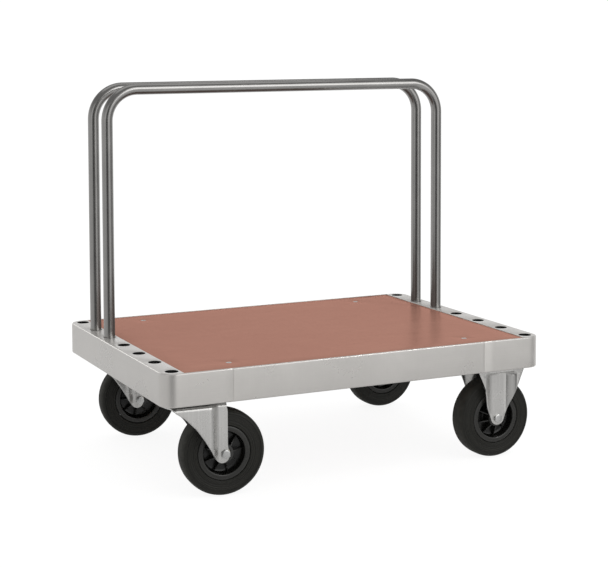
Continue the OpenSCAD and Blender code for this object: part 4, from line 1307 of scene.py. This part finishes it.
def rim_mesh(ribs=9):
    """One revolved body whose ribs rise from the dish on both faces."""
    hb = 14.16
    face = [  # from the bore outwards along one face
        (hb, 0.0), (hb, 28.3), (hb + 0.7, 29.0), (19.4, 29.0), (20.4, 28.7), (20.9, 27.9), (21.1, 26.0), (21.3, 23.5), (21.6, 20.0), (21.9, 15.0), (22.2, 10.0),
        (22.5, 6.2), (23.0, 4.6), (24.2, 3.5), (26.0, 3.1), (29.0, 3.0), (33.0, 3.0), (37.0, 3.0), (41.0, 3.0), (44.5, 3.2), (46.8, 4.0), (48.2, 5.6), (48.8, 8.0),
        (49.2, 12.0), (49.6, 16.0), (50.0, 20.0), (50.3, 22.4), (50.8, 23.6), (51.8, 24.3), (53.0, 24.5), (56.5, 24.5), (60.0, 24.4), (61.4, 24.0), (62.3, 23.0),
        (62.6, 21.5), (62.6, 13.0)]
    prof = face[1:] + [(62.4, 0.0)] + [(r, -z) for r, z in face[:0:-1]]

    def rib_h(r):
        # gusset: high at the hub, falling to the dish floor at the ring
        k = np.interp(r, [20.0, 22.0, 25.0, 48.0, 49.5], [24.5, 24.2, 22.6, 7.2, 6.6])
        return k

    cols = []                              # (kind, offset mm or share of the gap)
    top, base = 1.15, 1.75
    cols = [("mm", -base, 0), ("mm", -top - 0.12, 0.9), ("mm", -top + 0.35, 1.0), ("mm", top - 0.35, 1.0), ("mm", top + 0.12, 0.9), ("mm", base, 0)]
    gap = [k / 9 for k in range(1, 9)]
    v = []
    n_col = 0
    pr = np.array(prof)
    for i in range(ribs):
        a0 = 2 * PI * i / ribs
        for kind, off, lift in cols:
            n_col += 1
            rr = pr[:, 0]
            a = a0 + off / np.maximum(rr, 8)
            zz = pr[:, 1].copy()
            if lift > 0:
                rh = rib_h(rr)
                up = np.where((rr > 20.8) & (rr < 50.5) & (np.abs(zz) < rh), np.sign(np.where(zz == 0, 1, zz)) * (rh - (1 - lift) * 4.0), zz)
                inner = (rr > 20.8) & (rr < 50.5)
                zz = np.where(inner & (np.abs(up) > np.abs(zz)), up, zz)
            v.append(np.column_stack([rr * np.cos(a), rr * np.sin(a), zz]))
        for g in gap:
            n_col += 1
            rr = pr[:, 0]
            b = base / np.maximum(rr, 8)
            a = a0 + b + (2 * PI / ribs - 2 * b) * g
            v.append(np.column_stack([rr * np.cos(a), rr * np.sin(a), pr[:, 1]]))
    return np.concatenate(v), grid_faces(n_col, len(pr), True, True)


TV, TF = tyre_mesh()
RV, RF_ = rim_mesh()
SPIN = {"left_front": 0.0, "right_front": 0.0, "left_rear": 0.35, "right_rear": 0.6}
# angle of one rib in each wheel, seen from -Y, degrees from +X towards +Z
RIB = {"left_front": 45.0, "right_front": 156.0, "left_rear": 20.0, "right_rear": 100.0}
for end in ("left", "right"):
    for which in ("front", "rear"):
        key = end + "_" + which
        m = CAST[key] @ T(TRAIL if end == "left" else 0, 0, HW)
        spin = (RX(PI / 2) @ RZ(math.radians(RIB[key])))[:3, :3].T
        piece("tyre_" + key + "_moulded", TV @ spin, TF, M_RUB, "wheel_" + key, "rubber", ["tyre_" + key], at=world(m), sharp=50)
        piece("rim_" + key + "_moulded", RV @ spin, RF_, M_RIM, "wheel_" + key, "rim_plastic", ["rim_" + key], at=world(m), sharp=38, weld=2e-3)

# ---------------------------------------------------------------------
# CAD nodes that stay: finishes and eased edges
# ---------------------------------------------------------------------
KEEP = {
    "cross_member_left": (M_INNER, 0.7), "cross_member_right": (M_INNER, 0.7), "cross_member_middle": (M_INNER, 0.7),
    "deck_ledges": (M_INNER, 0.6), "deck_nuts": (M_BOLT, 0.4), "fixed_axle_sleeves": (M_BALL, 0.3),
    "swivel_sleeve_front": (M_BALL, 0.3), "swivel_sleeve_rear": (M_BALL, 0.3),
    "upper_balls_front": (M_BALL, 0), "upper_balls_rear": (M_BALL, 0), "lower_balls_front": (M_BALL, 0), "lower_balls_rear": (M_BALL, 0),
    "hoop_plugs_front": (M_PLUG, 0.4), "hoop_plugs_rear": (M_PLUG, 0.4),
}
for e in ("left", "right"):
    for w in ("front", "rear"):
        KEEP["roller_cage_" + e + "_" + w] = (M_CAGE, 0)
for n, (mat, bev) in KEEP.items():
    o = frame["nodes"][n]
    o.data.materials.clear()
    o.data.materials.append(mat)
    if bev:
        b = o.modifiers.new("eased_edges", "BEVEL")
        b.width = bev * MM
        b.segments = 2
        b.limit_method = "ANGLE"
        b.angle_limit = math.radians(40)

# =====================================================================
# floor, light and camera
# =====================================================================
me = bpy.data.meshes.new("floor")
g = 60
xs = np.concatenate([-np.geomspace(30, 0.5, 12), np.geomspace(0.5, 30, 12)])
vv = [(x, y, 0.0) for x in xs for y in xs]
me.from_pydata(vv, [], grid_faces(len(xs), len(xs)))
floor = bpy.data.objects.new("floor", me)
bpy.context.scene.collection.objects.link(floor)
fm = Mat("studio_floor")
lp = fm.node("ShaderNodeLightPath")
em = fm.node("ShaderNodeEmission")
em.inputs["Color"].default_value = (1, 1, 1, 1)
em.inputs["Strength"].default_value = 1.12
mx = fm.node("ShaderNodeMixShader")
fm.link(fm.math("MULTIPLY", lp.outputs["Is Camera Ray"], 0.80), mx.inputs[0])
fm.link(fm.b.outputs[0], mx.inputs[1])
fm.link(em.outputs[0], mx.inputs[2])
fm.link(mx.outputs[0], fm.out.inputs["Surface"])
fn_ = fm.noise(3.0, 2, 0.5)
fm.done(fm.mix(fn_, (0.86, 0.86, 0.86), (0.88, 0.88, 0.88)), 0.8, 0.0)
me.materials.append(fm.m)

DOME_TOP, SOFTBOX = 0.26, 0.9
FLOOR_NEAR, FLOOR_FAR = 0.50, 0.95
# brightness round the horizon by heading from the camera's side, in degrees towards +X
HORIZON = [(-180, 0.98), (-150, 0.88), (-130, 0.70), (-90, 0.66), (-60, 0.62), (-36, 0.55), (-22, 0.40), (-12, 0.12), (0, 0.03), (12, 0.12), (24, 0.48),
           (36, 0.80), (53, 0.84), (61, 0.56), (72, 0.34), (88, 0.24), (104, 0.34), (120, 0.66), (140, 0.95), (180, 0.98)]
scene = bpy.context.scene
w = bpy.data.worlds.new("studio")
scene.world = w
w.use_nodes = True
nt = w.node_tree
nt.nodes.clear()
wo = nt.nodes.new("ShaderNodeOutputWorld")
bg1 = nt.nodes.new("ShaderNodeBackground")
bg2 = nt.nodes.new("ShaderNodeBackground")
wmx = nt.nodes.new("ShaderNodeMixShader")
wlp = nt.nodes.new("ShaderNodeLightPath")
bg1.inputs["Color"].default_value = (1.0, 1.0, 1.0, 1)
bg1.inputs["Strength"].default_value = 0.80
bg2.inputs["Color"].default_value = (1, 1, 1, 1)
bg2.inputs["Strength"].default_value = 1.05
nt.links.new(wlp.outputs["Is Camera Ray"], wmx.inputs[0])
nt.links.new(bg1.outputs[0], wmx.inputs[1])
nt.links.new(bg2.outputs[0], wmx.inputs[2])
nt.links.new(wmx.outputs[0], wo.inputs["Surface"])


def area(name, loc, target, size, power, color=(1, 1, 1)):
    l = bpy.data.lights.new(name, "AREA")
    l.shape = "RECTANGLE"
    l.size, l.size_y = size
    l.energy = power
    l.color = color
    o = bpy.data.objects.new(name, l)
    o.location = loc
    d = Vector(target) - Vector(loc)
    o.rotation_euler = d.to_track_quat("-Z", "Y").to_euler()
    scene.collection.objects.link(o)
    return o


area("key", (1.3, -2.9, 2.4), (0, 0, 0.3), (2.6, 2.0), 20)
area("fill", (-3.4, -2.0, 1.6), (0, 0, 0.3), (1.8, 2.4), 4)
area("top", (0.0, 0.6, 3.6), (0, 0, 0.3), (3.4, 2.4), 11)
glint = area("glint", (1.55, -1.35, 2.7), (0.2, -0.3, 0.1), (0.35, 0.35), 9)
# the glint picks out the sheet edges only; on a polished tube it would be a hard white line
back = area("glint_back", (-1.2, 3.5, 2.0), (-0.5, 0.0, 0.3), (1.8, 1.2), 14)
for o in (glint, back):
    o.visible_camera = False
beams = bpy.data.collections.new("end_beams_with_glint")
for o in list(scene.objects):
    if o.name.startswith("end_beam"):
        beams.objects.link(o)
back.light_linking.receiver_collection = beams
not_lit = bpy.data.collections.new("tubes_without_glint")
for o in list(scene.objects):
    if o.name.startswith("hoop_"):
        not_lit.objects.link(o)
glint.light_linking.receiver_collection = not_lit
for item in not_lit.collection_objects:
    item.light_linking.link_state = "EXCLUDE"


def heading(m, xyz):
    """The heading round Z as a 0..1 value, and the brightness that belongs to it."""
    dot = m.math("ADD", m.math("MULTIPLY", xyz[0], -0.433), m.math("MULTIPLY", xyz[1], -0.901))
    crs = m.math("ADD", m.math("MULTIPLY", xyz[0], 0.901), m.math("MULTIPLY", xyz[1], -0.433))
    turn = m.remap(m.math("ARCTAN2", crs, dot), -PI, PI)
    r = m.node("ShaderNodeValToRGB")
    r.color_ramp.interpolation = "B_SPLINE"
    el = r.color_ramp.elements
    while len(el) < len(HORIZON):
        el.new(0.5)
    for e, (a, v) in zip(el, HORIZON):
        e.position = (a + 180) / 360
    for e, (a, v) in zip(el, HORIZON):
        e.color = (v, v, v, 1)
    m.link(turn, r.inputs[0])
    return turn, r.outputs[0]


def only_glossy(o):
    o.visible_camera = False
    o.visible_diffuse = False
    o.visible_shadow = False
    o.visible_transmission = False
    o.visible_volume_scatter = False


# a reflection dome: bright behind and above the object, darker on the camera's side
bm = bmesh.new()
bmesh.ops.create_uvsphere(bm, u_segments=48, v_segments=24, radius=18.0)
me = bpy.data.meshes.new("reflection_dome")
bm.to_mesh(me)
bm.free()
dome = bpy.data.objects.new("reflection_dome", me)
scene.collection.objects.link(dome)
only_glossy(dome)
dm = Mat("reflection_dome")
dm.t.nodes.remove(dm.b)
de = dm.node("ShaderNodeEmission")
nv = dm.node("ShaderNodeVectorMath", operation="NORMALIZE")
dm.link(dm.tc.outputs["Object"], nv.inputs[0])
sep = dm.node("ShaderNodeSeparateXYZ")
dm.link(nv.outputs[0], sep.inputs[0])
turn_, ring_ = heading(dm, sep.outputs)
high = dm.remap(sep.outputs[2], 0.06, 0.66, smooth=True)
val = dm.math("ADD", dm.math("MULTIPLY", ring_, dm.math("SUBTRACT", 1.0, high)), dm.math("MULTIPLY", high, DOME_TOP))
# a wide softbox low on the right of the camera
sb = dm.math("MULTIPLY", dm.remap(turn_, 0.545, 0.61, smooth=True), dm.remap(turn_, 0.76, 0.69, smooth=True))
sb = dm.math("MULTIPLY", sb, dm.math("MULTIPLY", dm.remap(sep.outputs[2], 0.03, 0.12, smooth=True), dm.remap(sep.outputs[2], 0.60, 0.40, smooth=True)))
val = dm.math("ADD", val, dm.math("MULTIPLY", sb, SOFTBOX))
dm.link(val, de.inputs["Strength"])
dm.link(de.outputs[0], dm.out.inputs["Surface"])
me.materials.append(dm.m)

# the floor as reflections see it: dark near the object, pale far away
me = bpy.data.meshes.new("reflection_floor")
me.from_pydata([(x, y, -0.002) for x in xs for y in xs], [], grid_faces(len(xs), len(xs)))
rf = bpy.data.objects.new("reflection_floor", me)
scene.collection.objects.link(rf)
only_glossy(rf)
floor.visible_glossy = False
rm = Mat("reflection_floor")
rm.t.nodes.remove(rm.b)
re_ = rm.node("ShaderNodeEmission")
ln = rm.node("ShaderNodeVectorMath", operation="LENGTH")
rm.link(rm.tc.outputs["Object"], ln.inputs[0])
inv = rm.node("ShaderNodeVectorMath", operation="SCALE")
rm.link(rm.geo.outputs["Incoming"], inv.inputs[0])
inv.inputs["Scale"].default_value = -1.0
isep = rm.node("ShaderNodeSeparateXYZ")
rm.link(inv.outputs[0], isep.inputs[0])
_, ring_ = heading(rm, isep.outputs)
far = rm.remap(ln.outputs["Value"], 0.40, 1.3, smooth=True)
rm.link(rm.math("ADD", rm.math("MULTIPLY", rm.math("MULTIPLY", ring_, FLOOR_FAR), far), rm.math("MULTIPLY", rm.math("SUBTRACT", 1.0, far), FLOOR_NEAR)), re_.inputs["Strength"])
rm.link(re_.outputs[0], rm.out.inputs["Surface"])
me.materials.append(rm.m)

cam = bpy.data.cameras.new("camera")
co = bpy.data.objects.new("camera", cam)
scene.collection.objects.link(co)
az, el, roll = 0.4310, 0.0668, -0.0046
d = np.array([math.sin(az) * math.cos(el), math.cos(az) * math.cos(el), -math.sin(el)])
rt = np.array([math.cos(az), -math.sin(az), 0.0])
dn = np.cross(d, rt)
c_, s_ = math.cos(roll), math.sin(roll)
r_, dd = c_ * rt - s_ * dn, s_ * rt + c_ * dn
X, Y, Z = r_, -dd, -d
CAM = (-1.6622, -3.4227, 1.0502)
co.matrix_world = Matrix([[X[0], Y[0], Z[0], CAM[0]], [X[1], Y[1], Z[1], CAM[1]], [X[2], Y[2], Z[2], CAM[2]], [0, 0, 0, 1]])
cam.sensor_width = 36
cam.lens = 1508.0 * 36 / 608
cam.clip_end = 200
for attr, val in (("shift_x", (304 - 266.12) / 608), ("shift_y", (135.57 - 284) / 608)):
    dr = cam.driver_add(attr).driver
    dr.type = "SCRIPTED"
    var = dr.variables.new()
    var.name = "x"
    var.type = "TRANSFORMS"
    var.targets[0].id = co
    var.targets[0].transform_type = "LOC_X"
    var.targets[0].transform_space = "WORLD_SPACE"
    v2 = dr.variables.new()
    v2.name = "y"
    v2.type = "TRANSFORMS"
    v2.targets[0].id = co
    v2.targets[0].transform_type = "LOC_Y"
    v2.targets[0].transform_space = "WORLD_SPACE"
    dr.expression = "%.6f if abs(x + 1.6622) + abs(y + 3.4227) < 0.001 else 0.0" % val
scene.camera = co
scene.view_settings.view_transform = "Standard"
scene.view_settings.look = "None"
